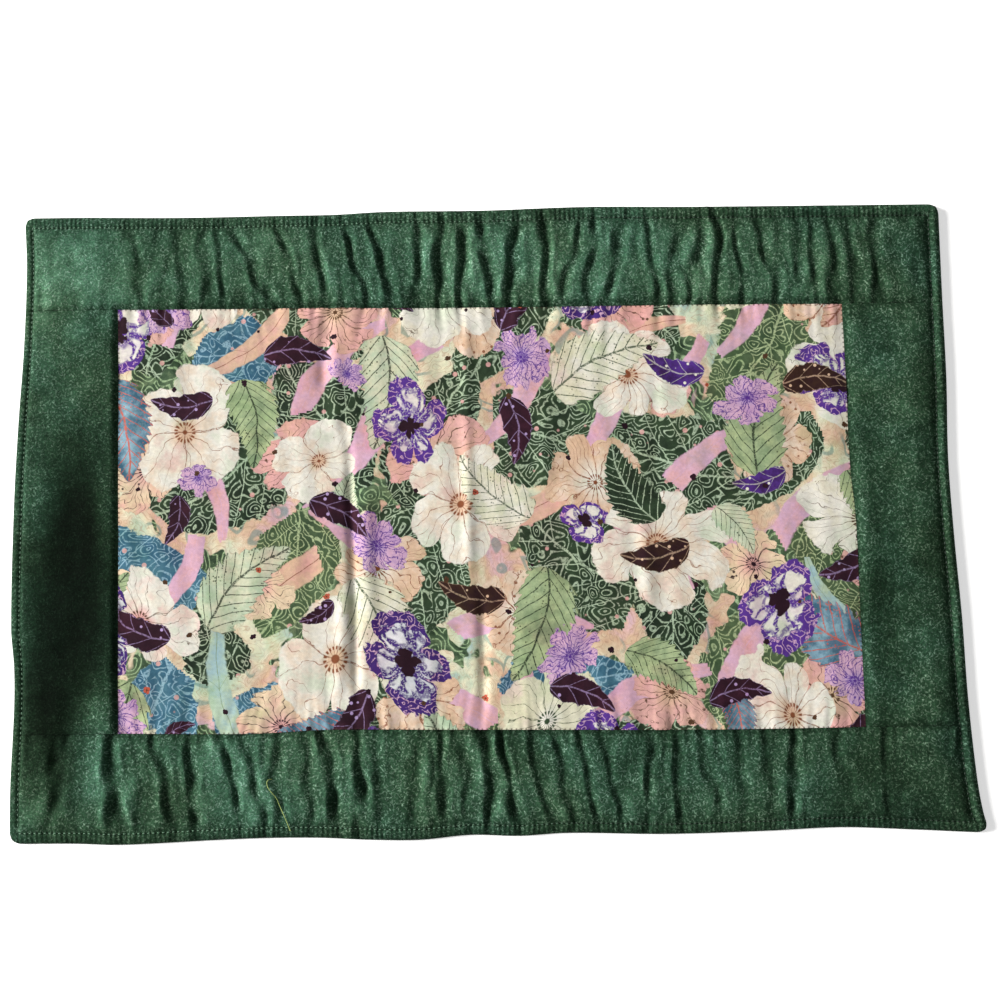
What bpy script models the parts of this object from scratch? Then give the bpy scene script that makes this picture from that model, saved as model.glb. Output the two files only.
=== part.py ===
"""A fabric placemat, turned and topstitched, lying flat on a table.

Five sewn pieces: a printed centre panel, a strip of green cloth above and below it
that runs the mat's full width, and a shorter strip on its left and right. Metres,
+Z up, with the origin on the table under the middle of the mat.

Each piece is laid out on an ideal rectangle, s across the mat and t up it. place()
moves a point from there to the real, uneven outline. strip_height() gives the green
strips their rolled edge, stitched groove, sunk seams and puckers, and panel_height()
gives the panel its sunk edges and its creases.
"""

import math
from collections import namedtuple

import bmesh
import bpy

MM = 0.001

# Driving dimensions, in metres.
MAT_WIDTH = 0.4572
MAT_DEPTH = 0.3048
PANEL_WIDTH = 0.3560
PANEL_DEPTH = 0.2060
PIECE_GAP = 0.00034
CORNER_RADIUS = 0.0055
STITCH_INSET = 0.0052

# Heights of the cloth above the table, in metres.
PANEL_HEIGHT = 0.0034
LEAST_HEIGHT = 0.0014

# How deep a seam sinks, and how far from it the cloth has risen again.
PANEL_SEAM_DEPTH = 0.0014
STRIP_SEAM_DEPTH = 0.0007
PANEL_EDGE_DEPTH = 0.0007
SEAM_REACH = 0.0030

# How much of a pucker is left at the seam, on the rolled edge, and in the panel.
PUCKER_AT_SEAM = 0.75
PUCKER_ON_EDGE = 0.35
PUCKER_IN_PANEL = 0.3
PUCKER_PANEL_REACH = 0.012

# The shares of a strip's width between which a pucker deepens, and fades again.
PUCKER_DEEPENS = (0.0, 0.25)
PUCKER_FADES = (0.86, 1.0)

# How far outside the panel's side seams a strip's own seam keeps their depth.
SEAM_BLEND = 0.004

# Spacing of the modelled points.
STRIP_STEP = 0.0032
STRIP_ROW_STEP = 0.0112
SIDE_STEP = 0.0064
SIDE_COLUMN_STEP = 0.0090
PANEL_STEP = 0.0045
PANEL_ROW_STEP = 0.0128
SHARP_ANGLE = math.radians(50)

HALF_WIDTH = MAT_WIDTH / 2
HALF_DEPTH = MAT_DEPTH / 2
PANEL_HALF_WIDTH = PANEL_WIDTH / 2
PANEL_HALF_DEPTH = PANEL_DEPTH / 2

# Every table below is in millimetres.
Edge = namedtuple("Edge", "along outward")
Profile = namedtuple("Profile", "inset height")
Pucker = namedtuple("Pucker", "seam_x stitch_x width depth")
Crease = namedtuple("Crease", "start_x start_y end_x end_y width rise")
Swell = namedtuple("Swell", "x y half_width half_depth rise")

# The rolled edge and the stitched groove, from the rim inwards.
RIM = (
    Profile(0.0, 1.3),
    Profile(0.6, 2.6),
    Profile(2.6, 3.5),
    Profile(5.2, 2.0),
    Profile(8.2, 3.8),
    Profile(12.0, 4.3),
)

# How far each side of the mat lies outside the ideal rectangle.
MAT_TOP = (
    Edge(-229, -0.3),
    Edge(-197, -0.4),
    Edge(-147, -1.2),
    Edge(-97, -0.9),
    Edge(-72, -0.8),
    Edge(-47, 0.3),
    Edge(2, 0.2),
    Edge(52, 1.3),
    Edge(102, 0.6),
    Edge(152, 0.3),
    Edge(229, 0.0),
)
MAT_BOTTOM = (
    Edge(-229, 0.0),
    Edge(-199, 0.3),
    Edge(-176, 1.2),
    Edge(-129, -0.4),
    Edge(-105, -0.9),
    Edge(-82, -0.6),
    Edge(-58, 0.7),
    Edge(-35, 1.1),
    Edge(-11, -0.8),
    Edge(12, 0.0),
    Edge(35, -1.0),
    Edge(82, 0.2),
    Edge(129, -0.5),
    Edge(165, -1.6),
    Edge(200, 0.2),
    Edge(220, 1.5),
    Edge(229, 1.9),
)
MAT_LEFT = (
    Edge(-152, -0.5),
    Edge(-127, 0.0),
    Edge(-90, -0.7),
    Edge(-71, -0.1),
    Edge(-52, 1.9),
    Edge(6, 2.3),
    Edge(45, 1.4),
    Edge(85, -0.3),
    Edge(125, -0.6),
    Edge(152, 1.0),
)
MAT_RIGHT = (
    Edge(-152, 4.6),
    Edge(-143, 2.2),
    Edge(-127, 0.2),
    Edge(-90, -1.8),
    Edge(-52, -2.4),
    Edge(-13, -3.9),
    Edge(26, -4.6),
    Edge(65, -3.2),
    Edge(106, -2.9),
    Edge(152, -2.3),
)

# How far each seam of the panel lies outside the panel's ideal rectangle.
SEAM_TOP = (
    Edge(-178, 1.0),
    Edge(-131, 0.7),
    Edge(-82, 0.5),
    Edge(-23, -0.4),
    Edge(56, -0.7),
    Edge(115, -0.8),
    Edge(178, -1.4),
)
SEAM_BOTTOM = (
    Edge(-178, -1.0),
    Edge(-115, 0.0),
    Edge(-77, -1.3),
    Edge(-20, -0.4),
    Edge(32, 0.4),
    Edge(79, 1.2),
    Edge(127, 1.5),
    Edge(178, 1.3),
)
SEAM_LEFT = (
    Edge(-103, -0.4),
    Edge(-38, 0.9),
    Edge(10, 1.8),
    Edge(59, 2.8),
    Edge(103, 3.8),
)
SEAM_RIGHT = (
    Edge(-103, -1.1),
    Edge(-44, -1.0),
    Edge(-6, -1.0),
    Edge(24, -2.5),
    Edge(63, -2.5),
    Edge(103, -2.6),
)

# Puckers of the top strip, from the panel's seam to the topstitching.
TOP_PUCKERS = (
    Pucker(-167.5, -178.1, 4.5, 0.6),
    Pucker(-147.3, -151.8, 4.5, 0.5),
    Pucker(-137.4, -138.4, 4.0, 0.6),
    Pucker(-130.5, -131.9, 4.0, 0.6),
    Pucker(-101.9, -127.9, 4.5, 1.2),
    Pucker(-90.6, -103.6, 4.0, 0.8),
    Pucker(-78.2, -84.7, 4.0, 1.3),
    Pucker(-58.0, -70.8, 4.0, 1.1),
    Pucker(-43.7, -56.9, 4.0, 1.3),
    Pucker(-33.8, -33.5, 4.0, 1.4),
    Pucker(-23.4, -22.1, 4.0, 1.5),
    Pucker(-11.6, -11.1, 4.0, 1.4),
    Pucker(3.7, -2.2, 4.0, 1.3),
    Pucker(10.1, 16.7, 4.5, 1.7),
    Pucker(30.3, 28.1, 4.0, 1.7),
    Pucker(37.3, 49.5, 4.0, 0.8),
    Pucker(50.6, 56.5, 4.0, 1.0),
    Pucker(58.0, 70.4, 4.0, 1.0),
    Pucker(86.1, 79.3, 4.0, 1.0),
    Pucker(92.0, 95.7, 4.5, 0.6),
    Pucker(100.4, 107.6, 4.0, 0.8),
    Pucker(114.2, 115.1, 4.0, 1.4),
    Pucker(127.6, 125.5, 4.0, 0.9),
    Pucker(145.3, 135.5, 4.0, 1.0),
    Pucker(155.2, 154.9, 4.5, 0.6),
    Pucker(163.1, 161.8, 4.0, 0.6),
    Pucker(173.9, 169.3, 4.0, 0.8),
    Pucker(183.3, 178.7, 4.0, 1.0),
    Pucker(194.7, 194.1, 4.5, 0.8),
)

# Puckers of the bottom strip.
BOTTOM_PUCKERS = (
    Pucker(-204.6, -209.6, 6.0, 0.8),
    Pucker(-180.4, -176.7, 5.0, 1.7),
    Pucker(-161.5, -148.5, 4.0, 1.1),
    Pucker(-144.4, -138.7, 4.0, 1.3),
    Pucker(-128.3, -118.0, 4.0, 1.1),
    Pucker(-117.0, -107.2, 4.0, 1.1),
    Pucker(-102.3, -100.6, 4.5, 0.8),
    Pucker(-87.6, -85.6, 4.5, 0.8),
    Pucker(-80.0, -72.4, 4.0, 1.5),
    Pucker(-64.8, -62.1, 4.0, 1.4),
    Pucker(-54.4, -52.3, 4.5, 0.5),
    Pucker(-34.5, -36.8, 4.5, 0.6),
    Pucker(-24.6, -24.1, 4.0, 1.3),
    Pucker(-15.6, -10.5, 4.0, 0.8),
    Pucker(-4.7, 0.3, 4.0, 1.7),
    Pucker(3.4, 11.6, 4.0, 1.3),
    Pucker(19.0, 27.6, 4.0, 0.8),
    Pucker(29.0, 37.4, 4.0, 0.8),
    Pucker(40.3, 49.7, 4.0, 1.0),
    Pucker(51.7, 61.9, 4.0, 0.8),
    Pucker(74.0, 71.7, 4.0, 1.0),
    Pucker(86.3, 89.6, 4.0, 1.0),
    Pucker(99.5, 106.5, 4.0, 0.8),
    Pucker(115.2, 118.2, 4.5, 0.6),
    Pucker(128.9, 132.3, 4.5, 0.6),
    Pucker(141.7, 141.7, 4.0, 1.3),
    Pucker(163.0, 169.4, 5.0, 0.4),
    Pucker(184.8, 184.9, 5.0, 0.4),
)

# Long creases of the panel: a fold up has a positive rise, a trough a negative one.
PANEL_CREASES = (
    Crease(-68, 40, -64, -95, 4.0, -1.3),
    Crease(-60, 22, -58, -60, 6.0, 0.9),
    Crease(-71, -35, -73, -90, 5.0, 0.8),
    Crease(-11, 103, -10, -45, 5.0, 0.9),
    Crease(-80, 103, -81, 60, 5.0, -0.9),
    Crease(-71, 50, -67, 26, 5.0, -0.7),
    Crease(-4, -34, -4, -103, 4.5, -0.9),
    Crease(25, 64, 28, 10, 6.0, 0.6),
    Crease(82, 76, 80, -6, 6.0, -0.5),
    Crease(73, 6, 76, -50, 6.0, 0.6),
    Crease(148, 55, 149, 2, 7.0, -0.5),
    Crease(-73, 94, -75, 38, 6.0, 0.7),
    Crease(14, 103, 12, 80, 5.0, 0.7),
    Crease(-142, -15, -132, -60, 9.0, 0.5),
)

# Broad rises and hollows of the two side strips.
SIDE_SWELLS = (
    Swell(-200, -14, 13, 40, -0.9),
    Swell(-184, -100, 6, 30, 0.7),
    Swell(-199, -98, 8, 26, -0.8),
    Swell(-204, 86, 14, 26, 0.2),
    Swell(199, 44, 9, 38, 0.3),
    Swell(190, -50, 6, 40, -0.4),
    Swell(207, -78, 8, 30, 0.3),
)

Finish = namedtuple("Finish", "colour roughness metallic")
GREEN_CLOTH = Finish((0.040, 0.089, 0.051, 1.0), 0.85, 0.0)
PRINTED_CLOTH = Finish((0.480, 0.430, 0.380, 1.0), 0.55, 0.0)


def remove_scene_objects():
    for scene_object in list(bpy.data.objects):
        bpy.data.objects.remove(scene_object, do_unlink=True)


def along_curve(table, x):
    """A smooth curve through a table of two columns, read at x, both in its own units."""
    if x <= table[0][0]:
        return table[0][1]
    if x >= table[-1][0]:
        return table[-1][1]
    last = len(table) - 1
    i = next(k for k in range(last) if x <= table[k + 1][0])
    x0, y0 = table[i]
    x1, y1 = table[i + 1]
    before = table[max(i - 1, 0)]
    after = table[min(i + 2, last)]
    span = x1 - x0
    slope0 = (y1 - before[1]) / (x1 - before[0]) * span
    slope1 = (after[1] - y0) / (after[0] - x0) * span
    u = (x - x0) / span
    return (
        y0 * (2 * u**3 - 3 * u**2 + 1)
        + slope0 * (u**3 - 2 * u**2 + u)
        + y1 * (3 * u**2 - 2 * u**3)
        + slope1 * (u**3 - u**2)
    )


def outward(table, along):
    """How far a side or seam lies outside its ideal rectangle, in metres."""
    return along_curve(table, along / MM) * MM


def smooth_step(low, high, x):
    u = min(max((x - low) / (high - low), 0.0), 1.0)
    return u * u * (3 - 2 * u)


def bell(distance, width):
    """1 on a line, falling to a half at half the width away."""
    return 2 ** -((2 * distance / width) ** 2)


def rounded(s, t):
    """Bends the square corners of the ideal rectangle into round ones."""
    from_side = HALF_WIDTH - abs(s)
    from_end = HALF_DEPTH - abs(t)
    if from_side >= CORNER_RADIUS or from_end >= CORNER_RADIUS:
        return s, t
    across = CORNER_RADIUS - from_side
    up = CORNER_RADIUS - from_end
    twice_square = 2 * CORNER_RADIUS**2
    new_s = HALF_WIDTH - CORNER_RADIUS + across * math.sqrt(1 - up**2 / twice_square)
    new_t = HALF_DEPTH - CORNER_RADIUS + up * math.sqrt(1 - across**2 / twice_square)
    return math.copysign(new_s, s), math.copysign(new_t, t)


def between(value, marks, places):
    """Reads value on a scale whose marks lie at the given places."""
    last = len(marks) - 2
    i = next((k for k in range(last) if value <= marks[k + 1]), last)
    share = (value - marks[i]) / (marks[i + 1] - marks[i])
    return places[i] + (places[i + 1] - places[i]) * share


IDEAL_SIDES = (-HALF_WIDTH, -PANEL_HALF_WIDTH, PANEL_HALF_WIDTH, HALF_WIDTH)
IDEAL_ENDS = (-HALF_DEPTH, -PANEL_HALF_DEPTH, PANEL_HALF_DEPTH, HALF_DEPTH)


def real_sides(t):
    """Where the mat's sides and the panel's side seams lie, at t up the rectangle."""
    return (
        -HALF_WIDTH - outward(MAT_LEFT, t),
        -PANEL_HALF_WIDTH - outward(SEAM_LEFT, t),
        PANEL_HALF_WIDTH + outward(SEAM_RIGHT, t),
        HALF_WIDTH + outward(MAT_RIGHT, t),
    )


def real_ends(s):
    """Where the mat's ends and the panel's end seams lie, at s across the rectangle."""
    return (
        -HALF_DEPTH - outward(MAT_BOTTOM, s),
        -PANEL_HALF_DEPTH - outward(SEAM_BOTTOM, s),
        PANEL_HALF_DEPTH + outward(SEAM_TOP, s),
        HALF_DEPTH + outward(MAT_TOP, s),
    )


def place(s, t):
    """Where a point of the ideal rectangle lies on the real mat."""
    s, t = rounded(s, t)
    return between(s, IDEAL_SIDES, real_sides(t)), between(t, IDEAL_ENDS, real_ends(s))


def share_up_strip(t):
    """How far t is up the top or bottom strip: 0 at its seam, 1 at its topstitching."""
    return (abs(t) - PANEL_HALF_DEPTH) / (HALF_DEPTH - STITCH_INSET - PANEL_HALF_DEPTH)


def pucker_depth(table, x, up):
    """How deep the puckers of a strip are at x, and at a share up from seam to stitching."""
    depth = 0.0
    for pucker in table:
        middle = pucker.seam_x + (pucker.stitch_x - pucker.seam_x) * up
        depth += pucker.depth * bell(x / MM - middle, pucker.width)
    return depth * MM


def crease_rise(x, y):
    """How far the long creases lift or sink the panel."""
    rise = 0.0
    for crease in PANEL_CREASES:
        share = (y / MM - crease.start_y) / (crease.end_y - crease.start_y)
        ends = smooth_step(0.0, 0.2, share) * (1 - smooth_step(0.8, 1.0, share))
        middle = crease.start_x + (crease.end_x - crease.start_x) * share
        rise += crease.rise * ends * bell(x / MM - middle, crease.width)
    return rise * MM


def swell_rise(x, y):
    """The broad rises and hollows of the side strips."""
    rise = 0.0
    for swell in SIDE_SWELLS:
        across = bell(x / MM - swell.x, 2 * swell.half_width)
        rise += swell.rise * across * bell(y / MM - swell.y, 2 * swell.half_depth)
    return rise * MM


def strip_height(s, t, x, y):
    """Height of the green strips: rolled edge, groove, sunk seams, puckers and swells."""
    inset = min(HALF_WIDTH - abs(s), HALF_DEPTH - abs(t))
    inner = smooth_step(0.5 * STITCH_INSET, 1.6 * STITCH_INSET, inset)
    height = along_curve(RIM, inset / MM) * MM + swell_rise(x, y) * inner
    if abs(t) < PANEL_HALF_DEPTH:
        beside_panel = PANEL_SEAM_DEPTH * bell(abs(s) - PANEL_HALF_WIDTH, SEAM_REACH)
        beside_strip = STRIP_SEAM_DEPTH * bell(PANEL_HALF_DEPTH - abs(t), SEAM_REACH)
        return height - max(beside_panel, beside_strip) * inner
    beyond_panel = smooth_step(PANEL_HALF_WIDTH, PANEL_HALF_WIDTH + SEAM_BLEND, abs(s))
    seam_depth = PANEL_SEAM_DEPTH + (STRIP_SEAM_DEPTH - PANEL_SEAM_DEPTH) * beyond_panel
    seam = seam_depth * bell(abs(t) - PANEL_HALF_DEPTH, SEAM_REACH) * inner
    up = share_up_strip(t)
    strength = PUCKER_AT_SEAM + (1 - PUCKER_AT_SEAM) * smooth_step(*PUCKER_DEEPENS, up)
    strength *= 1 - (1 - PUCKER_ON_EDGE) * smooth_step(*PUCKER_FADES, up)
    table = TOP_PUCKERS if t > 0 else BOTTOM_PUCKERS
    return height - seam - pucker_depth(table, x, min(up, 1.0)) * strength


def panel_height(s, t, x, y):
    """Height of the printed panel: it sinks to its seams and carries the long creases."""
    from_side = PANEL_HALF_WIDTH - abs(s)
    from_end = PANEL_HALF_DEPTH - abs(t)
    edge = bell(min(from_side, from_end), 2 * SEAM_REACH)
    table = TOP_PUCKERS if t > 0 else BOTTOM_PUCKERS
    fading = PUCKER_IN_PANEL * math.exp(-from_end / PUCKER_PANEL_REACH)
    puckers = pucker_depth(table, x, 0.0) * fading
    return PANEL_HEIGHT - PANEL_EDGE_DEPTH * edge + crease_rise(x, y) - puckers


# A line of modelled points up the mat: its place across at the seam and at the stitching.
Column = namedtuple("Column", "seam_s stitch_s")


def upright(places_across):
    """Columns that keep their place across the mat all the way up it."""
    return [Column(s, s) for s in places_across]


def column_at(column, t):
    """Where a column crosses t: it leans only between the seam and the topstitching."""
    up = min(max(share_up_strip(t), 0.0), 1.0)
    return column.seam_s + (column.stitch_s - column.seam_s) * up


def steps(start, end, step):
    """Evenly spaced places from start to end, no further apart than step."""
    count = math.ceil(abs(end - start) / step - 1e-6)
    return [start + (end - start) * i / count for i in range(count + 1)]


def mirrored(places):
    """The same places on the other side of the middle, still in rising order."""
    return [-outside for outside in reversed(places)]


def rim_places(half_size):
    """Modelled lines along the rolled edge, from its inner side out to the rim."""
    return [half_size - row.inset * MM for row in reversed(RIM[:-1])]


def outward_lines(panel_half, mat_half, step):
    """Modelled lines from the panel's seam out to the rim, on one side of the mat."""
    rim = rim_places(mat_half)
    seam = [panel_half + PIECE_GAP / 2, panel_half + SEAM_REACH]
    body = steps(seam[-1], rim[0], step)
    return seam + body[1:-1] + rim


def pucker_column(pucker, side):
    """The column that runs along a pucker's trough; side is 1 on top, -1 at the bottom."""
    at_seam = real_sides(side * PANEL_HALF_DEPTH)
    at_stitching = real_sides(side * (HALF_DEPTH - STITCH_INSET))
    return Column(
        between(pucker.seam_x * MM, at_seam, IDEAL_SIDES),
        between(pucker.stitch_x * MM, at_stitching, IDEAL_SIDES),
    )


def full_width_columns(puckers, side):
    """Columns of the top or bottom strip: one along each pucker, and a fan between two."""
    rim = rim_places(HALF_WIDTH)
    lines = upright([-rim[0]])
    lines += [pucker_column(pucker, side) for pucker in puckers]
    lines += upright([rim[0]])
    columns = upright(mirrored(rim)[:-1])
    for left, right in zip(lines, lines[1:]):
        seam_step = right.seam_s - left.seam_s
        stitch_step = right.stitch_s - left.stitch_s
        count = max(2, round((seam_step + stitch_step) / 2 / STRIP_STEP))
        for i in range(count):
            share = i / count
            seam_s = left.seam_s + seam_step * share
            columns.append(Column(seam_s, left.stitch_s + stitch_step * share))
    return columns + upright(rim)


def column_numbers(mesh):
    """The layer that holds the number of each point's column."""
    return mesh.verts.layers.int["column"]


def sheet_grid(mesh, columns, rows):
    """Adds a grid with a point at each crossing of the columns and rows, seen from above."""
    made = bmesh.ops.create_grid(
        mesh,
        x_segments=len(columns) - 1,
        y_segments=len(rows) - 1,
        size=0.5,
    )
    numbers = column_numbers(mesh)
    for vert in made["verts"]:
        column = round((vert.co.x + 0.5) * (len(columns) - 1))
        row = round((vert.co.y + 0.5) * (len(rows) - 1))
        vert[numbers] = column
        vert.co = (column_at(columns[column], rows[row]), rows[row], 0.0)
    return made["verts"]


def merge_columns(mesh, last_column):
    """Leaves one flat face to each column of the underside."""
    numbers = column_numbers(mesh)
    across = []
    for edge in mesh.edges:
        start, end = edge.verts
        if start[numbers] != end[numbers] and not edge.is_boundary:
            across.append(edge)
    bmesh.ops.dissolve_edges(mesh, edges=across, use_verts=False)
    loose = []
    for vert in mesh.verts:
        if 0 < vert[numbers] < last_column and not vert.is_boundary:
            loose.append(vert)
    bmesh.ops.dissolve_verts(mesh, verts=loose)


def cloth_mesh(name, columns, rows, height_at):
    """A closed piece of cloth: a shaped top, upright cut edges and a flat underside."""
    mesh = bmesh.new()
    mesh.verts.layers.int.new("column")
    under = sheet_grid(mesh, columns, rows)
    bmesh.ops.reverse_faces(mesh, faces=mesh.faces[:])
    for vert in under:
        vert.co.x, vert.co.y = place(vert.co.x, vert.co.y)
    merge_columns(mesh, len(columns) - 1)
    top = sheet_grid(mesh, columns, rows)
    for vert in top:
        s, t = vert.co.x, vert.co.y
        x, y = place(s, t)
        vert.co = (x, y, max(height_at(s, t, x, y), LEAST_HEIGHT))
    rims = [edge for edge in mesh.edges if edge.is_boundary]
    bmesh.ops.bridge_loops(mesh, edges=rims)
    bmesh.ops.recalc_face_normals(mesh, faces=mesh.faces[:])
    data = bpy.data.meshes.new(name)
    mesh.to_mesh(data)
    mesh.free()
    return data


def cloth_material(name, finish):
    material = bpy.data.materials.new(name)
    material.use_nodes = True
    shader = material.node_tree.nodes["Principled BSDF"]
    shader.inputs["Base Color"].default_value = finish.colour
    shader.inputs["Roughness"].default_value = finish.roughness
    shader.inputs["Metallic"].default_value = finish.metallic
    return material


def add_piece(collection, name, columns, rows, height_at, finish):
    data = cloth_mesh(name, columns, rows, height_at)
    data.shade_smooth()
    data.set_sharp_from_angle(angle=SHARP_ANGLE)
    data.materials.append(cloth_material(name + "_cloth", finish))
    piece = bpy.data.objects.new(name, data)
    collection.objects.link(piece)


def build_border(collection):
    """The four green strips round the panel."""
    up = outward_lines(PANEL_HALF_DEPTH, HALF_DEPTH, STRIP_ROW_STEP)
    top = full_width_columns(TOP_PUCKERS, 1)
    bottom = full_width_columns(BOTTOM_PUCKERS, -1)
    add_piece(collection, "border_top", top, up, strip_height, GREEN_CLOTH)
    add_piece(collection, "border_bottom", bottom, mirrored(up), strip_height, GREEN_CLOTH)
    across = outward_lines(PANEL_HALF_WIDTH, HALF_WIDTH, SIDE_COLUMN_STEP)
    left = upright(mirrored(across))
    right = upright(across)
    half = PANEL_HALF_DEPTH - PIECE_GAP / 2
    inner = half - SEAM_REACH
    rows = [-half] + steps(-inner, inner, SIDE_STEP) + [half]
    add_piece(collection, "border_left", left, rows, strip_height, GREEN_CLOTH)
    add_piece(collection, "border_right", right, rows, strip_height, GREEN_CLOTH)


def build_panel(collection):
    """The printed panel in the middle."""
    half_width = PANEL_HALF_WIDTH - PIECE_GAP / 2
    half_depth = PANEL_HALF_DEPTH - PIECE_GAP / 2
    inner_width = half_width - SEAM_REACH
    inner_depth = half_depth - SEAM_REACH
    across = [-half_width] + steps(-inner_width, inner_width, PANEL_STEP) + [half_width]
    rows = [-half_depth] + steps(-inner_depth, inner_depth, PANEL_ROW_STEP) + [half_depth]
    columns = upright(across)
    add_piece(collection, "centre_panel", columns, rows, panel_height, PRINTED_CLOTH)


def main():
    remove_scene_objects()
    placemat = bpy.data.collections.new("placemat")
    bpy.context.scene.collection.children.link(placemat)
    build_border(placemat)
    build_panel(placemat)


main()
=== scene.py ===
# %% [markdown]
# # A bordered cloth placemat
#
# The mat is a printed panel framed by four strips of dark green cloth. It was sewn
# face to face with its back, turned the right way out and topstitched all round, so
# its edge is a soft roll with a stitched groove inside it.
#
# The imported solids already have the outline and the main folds, with a few thousand
# faces. Here each piece of cloth is made again as a fine sheet, from the same named
# sizes, because small ripples, stitch ribs and the print need closer points.

import math
from collections import namedtuple

import bmesh
import bpy
import numpy as np
from mathutils import Matrix, Vector


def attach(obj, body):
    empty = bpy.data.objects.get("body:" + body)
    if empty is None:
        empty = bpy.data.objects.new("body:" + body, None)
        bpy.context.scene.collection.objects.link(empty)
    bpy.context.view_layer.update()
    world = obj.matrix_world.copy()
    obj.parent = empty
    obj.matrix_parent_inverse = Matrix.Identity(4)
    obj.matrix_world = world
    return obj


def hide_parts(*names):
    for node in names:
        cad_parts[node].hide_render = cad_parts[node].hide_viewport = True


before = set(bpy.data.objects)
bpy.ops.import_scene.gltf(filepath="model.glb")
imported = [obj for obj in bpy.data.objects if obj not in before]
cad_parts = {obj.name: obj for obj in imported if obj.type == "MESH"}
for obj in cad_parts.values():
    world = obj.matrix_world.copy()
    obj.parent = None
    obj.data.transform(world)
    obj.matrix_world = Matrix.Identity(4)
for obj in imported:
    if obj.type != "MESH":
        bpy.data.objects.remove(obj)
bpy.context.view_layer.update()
print("pieces in the frame:", sorted(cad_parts))

# %% [markdown]
# ## Sizes
#
# Lengths are in metres. The tables further down are in millimetres, because a sewn
# thing is measured that way.

# %% Main sizes
MM = 0.001
MAT_WIDTH = 0.4572
MAT_DEPTH = 0.3048
PANEL_WIDTH = 0.3560
PANEL_DEPTH = 0.2060
PIECE_GAP = 0.00012
CORNER_RADIUS = 0.0055
STITCH_INSET = 0.0052
STITCH_PITCH = 0.00232

HALF_WIDTH = MAT_WIDTH / 2
HALF_DEPTH = MAT_DEPTH / 2
PANEL_HALF_WIDTH = PANEL_WIDTH / 2
PANEL_HALF_DEPTH = PANEL_DEPTH / 2

PANEL_HEIGHT = 0.0034
LEAST_HEIGHT = 0.0012
PANEL_SEAM_DEPTH = 0.0013
STRIP_SEAM_DEPTH = 0.0005
PANEL_EDGE_DEPTH = 0.0004
SEAM_REACH = 0.0036
SEAM_BLEND = 0.004

print(f"mat {MAT_WIDTH / MM:.0f} x {MAT_DEPTH / MM:.0f} mm")

# %% [markdown]
# ## The uneven outline
#
# Hand-sewn cloth is never quite square. Every piece is laid out on an ideal rectangle,
# s across and t up, and these tables say how far each side of the mat, and each seam of
# the panel, lies outside it. A smooth curve runs through the rows.


# %% Outline tables
def rows(kind, *numbers):
    """A table: every row of numbers under the names of its kind."""
    return [kind(*row) for row in numbers]


Edge = namedtuple("Edge", "along outward")

MAT_TOP = rows(
    Edge, (-229, -0.3), (-197, -0.4), (-147, -1.2), (-97, -0.9), (-72, -0.8), (-47, 0.3),
    (2, 0.2), (52, 1.3), (102, 0.6), (152, 0.3), (229, 0.0),
)
MAT_BOTTOM = rows(
    Edge, (-229, 0.0), (-199, 0.3), (-176, 1.2), (-129, -0.4), (-105, -0.9), (-82, -0.6),
    (-58, 0.7), (-35, 1.1), (-11, -0.8), (12, 0.0), (35, -1.0), (82, 0.2), (129, -0.5),
    (165, -1.6), (200, 0.2), (220, 1.5), (229, 1.9),
)
MAT_LEFT = rows(
    Edge, (-152, -0.5), (-127, 0.0), (-90, -0.7), (-71, -0.1), (-52, 1.9), (6, 2.3),
    (45, 1.4), (85, -0.3), (125, -0.6), (152, 1.0),
)
MAT_RIGHT = rows(
    Edge, (-152, 4.6), (-143, 2.2), (-127, 0.2), (-90, -1.8), (-52, -2.4), (-13, -3.9),
    (26, -4.6), (65, -3.2), (106, -2.9), (152, -2.3),
)
SEAM_TOP = rows(
    Edge, (-178, 1.0), (-131, 0.7), (-82, 0.5), (-23, -0.4), (56, -0.7), (115, -0.8),
    (178, -1.4),
)
SEAM_BOTTOM = rows(
    Edge, (-178, -1.0), (-115, 0.0), (-77, -1.3), (-20, -0.4), (32, 0.4), (79, 1.2),
    (127, 1.5), (178, 1.3),
)
SEAM_LEFT = rows(Edge, (-103, -0.4), (-38, 0.9), (10, 1.8), (59, 2.8), (103, 3.8))
SEAM_RIGHT = rows(
    Edge, (-103, -1.1), (-44, -1.0), (-6, -1.0), (24, -2.5), (63, -2.5), (103, -2.6),
)

furthest = max(edge.outward for edge in MAT_RIGHT)
print("the right edge lies up to", furthest, "mm outside its ideal side")


# %% Curves through a table
def along_curve(table, x):
    """A smooth curve through a table of two columns, read at every x."""
    marks = np.array([row[0] for row in table], float)
    values = np.array([row[1] for row in table], float)
    x = np.clip(x, marks[0], marks[-1])
    last = len(marks) - 1
    i = np.clip(np.searchsorted(marks, x) - 1, 0, last - 1)
    before = np.maximum(i - 1, 0)
    after = np.minimum(i + 2, last)
    span = marks[i + 1] - marks[i]
    slope0 = (values[i + 1] - values[before]) / (marks[i + 1] - marks[before]) * span
    slope1 = (values[after] - values[i]) / (marks[after] - marks[i]) * span
    u = (x - marks[i]) / span
    start = values[i] * (2 * u**3 - 3 * u**2 + 1) + slope0 * (u**3 - 2 * u**2 + u)
    end = values[i + 1] * (3 * u**2 - 2 * u**3) + slope1 * (u**3 - u**2)
    return start + end


def outward(table, along):
    """How far a side or seam lies outside its ideal rectangle, in metres."""
    return along_curve(table, np.asarray(along) / MM) * MM


def smooth_step(low, high, x):
    """0 at low, 1 at high, and a smooth rise or fall between them."""
    u = np.clip((x - low) / (high - low), 0.0, 1.0)
    return u * u * (3 - 2 * u)


def bell(distance, width):
    """1 on a line, falling to a half at half the width away."""
    return 2.0 ** -((2 * distance / width) ** 2)


print(f"the left side bulges {float(outward(MAT_LEFT, 0.006)) / MM:.1f} mm at its middle")


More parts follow.
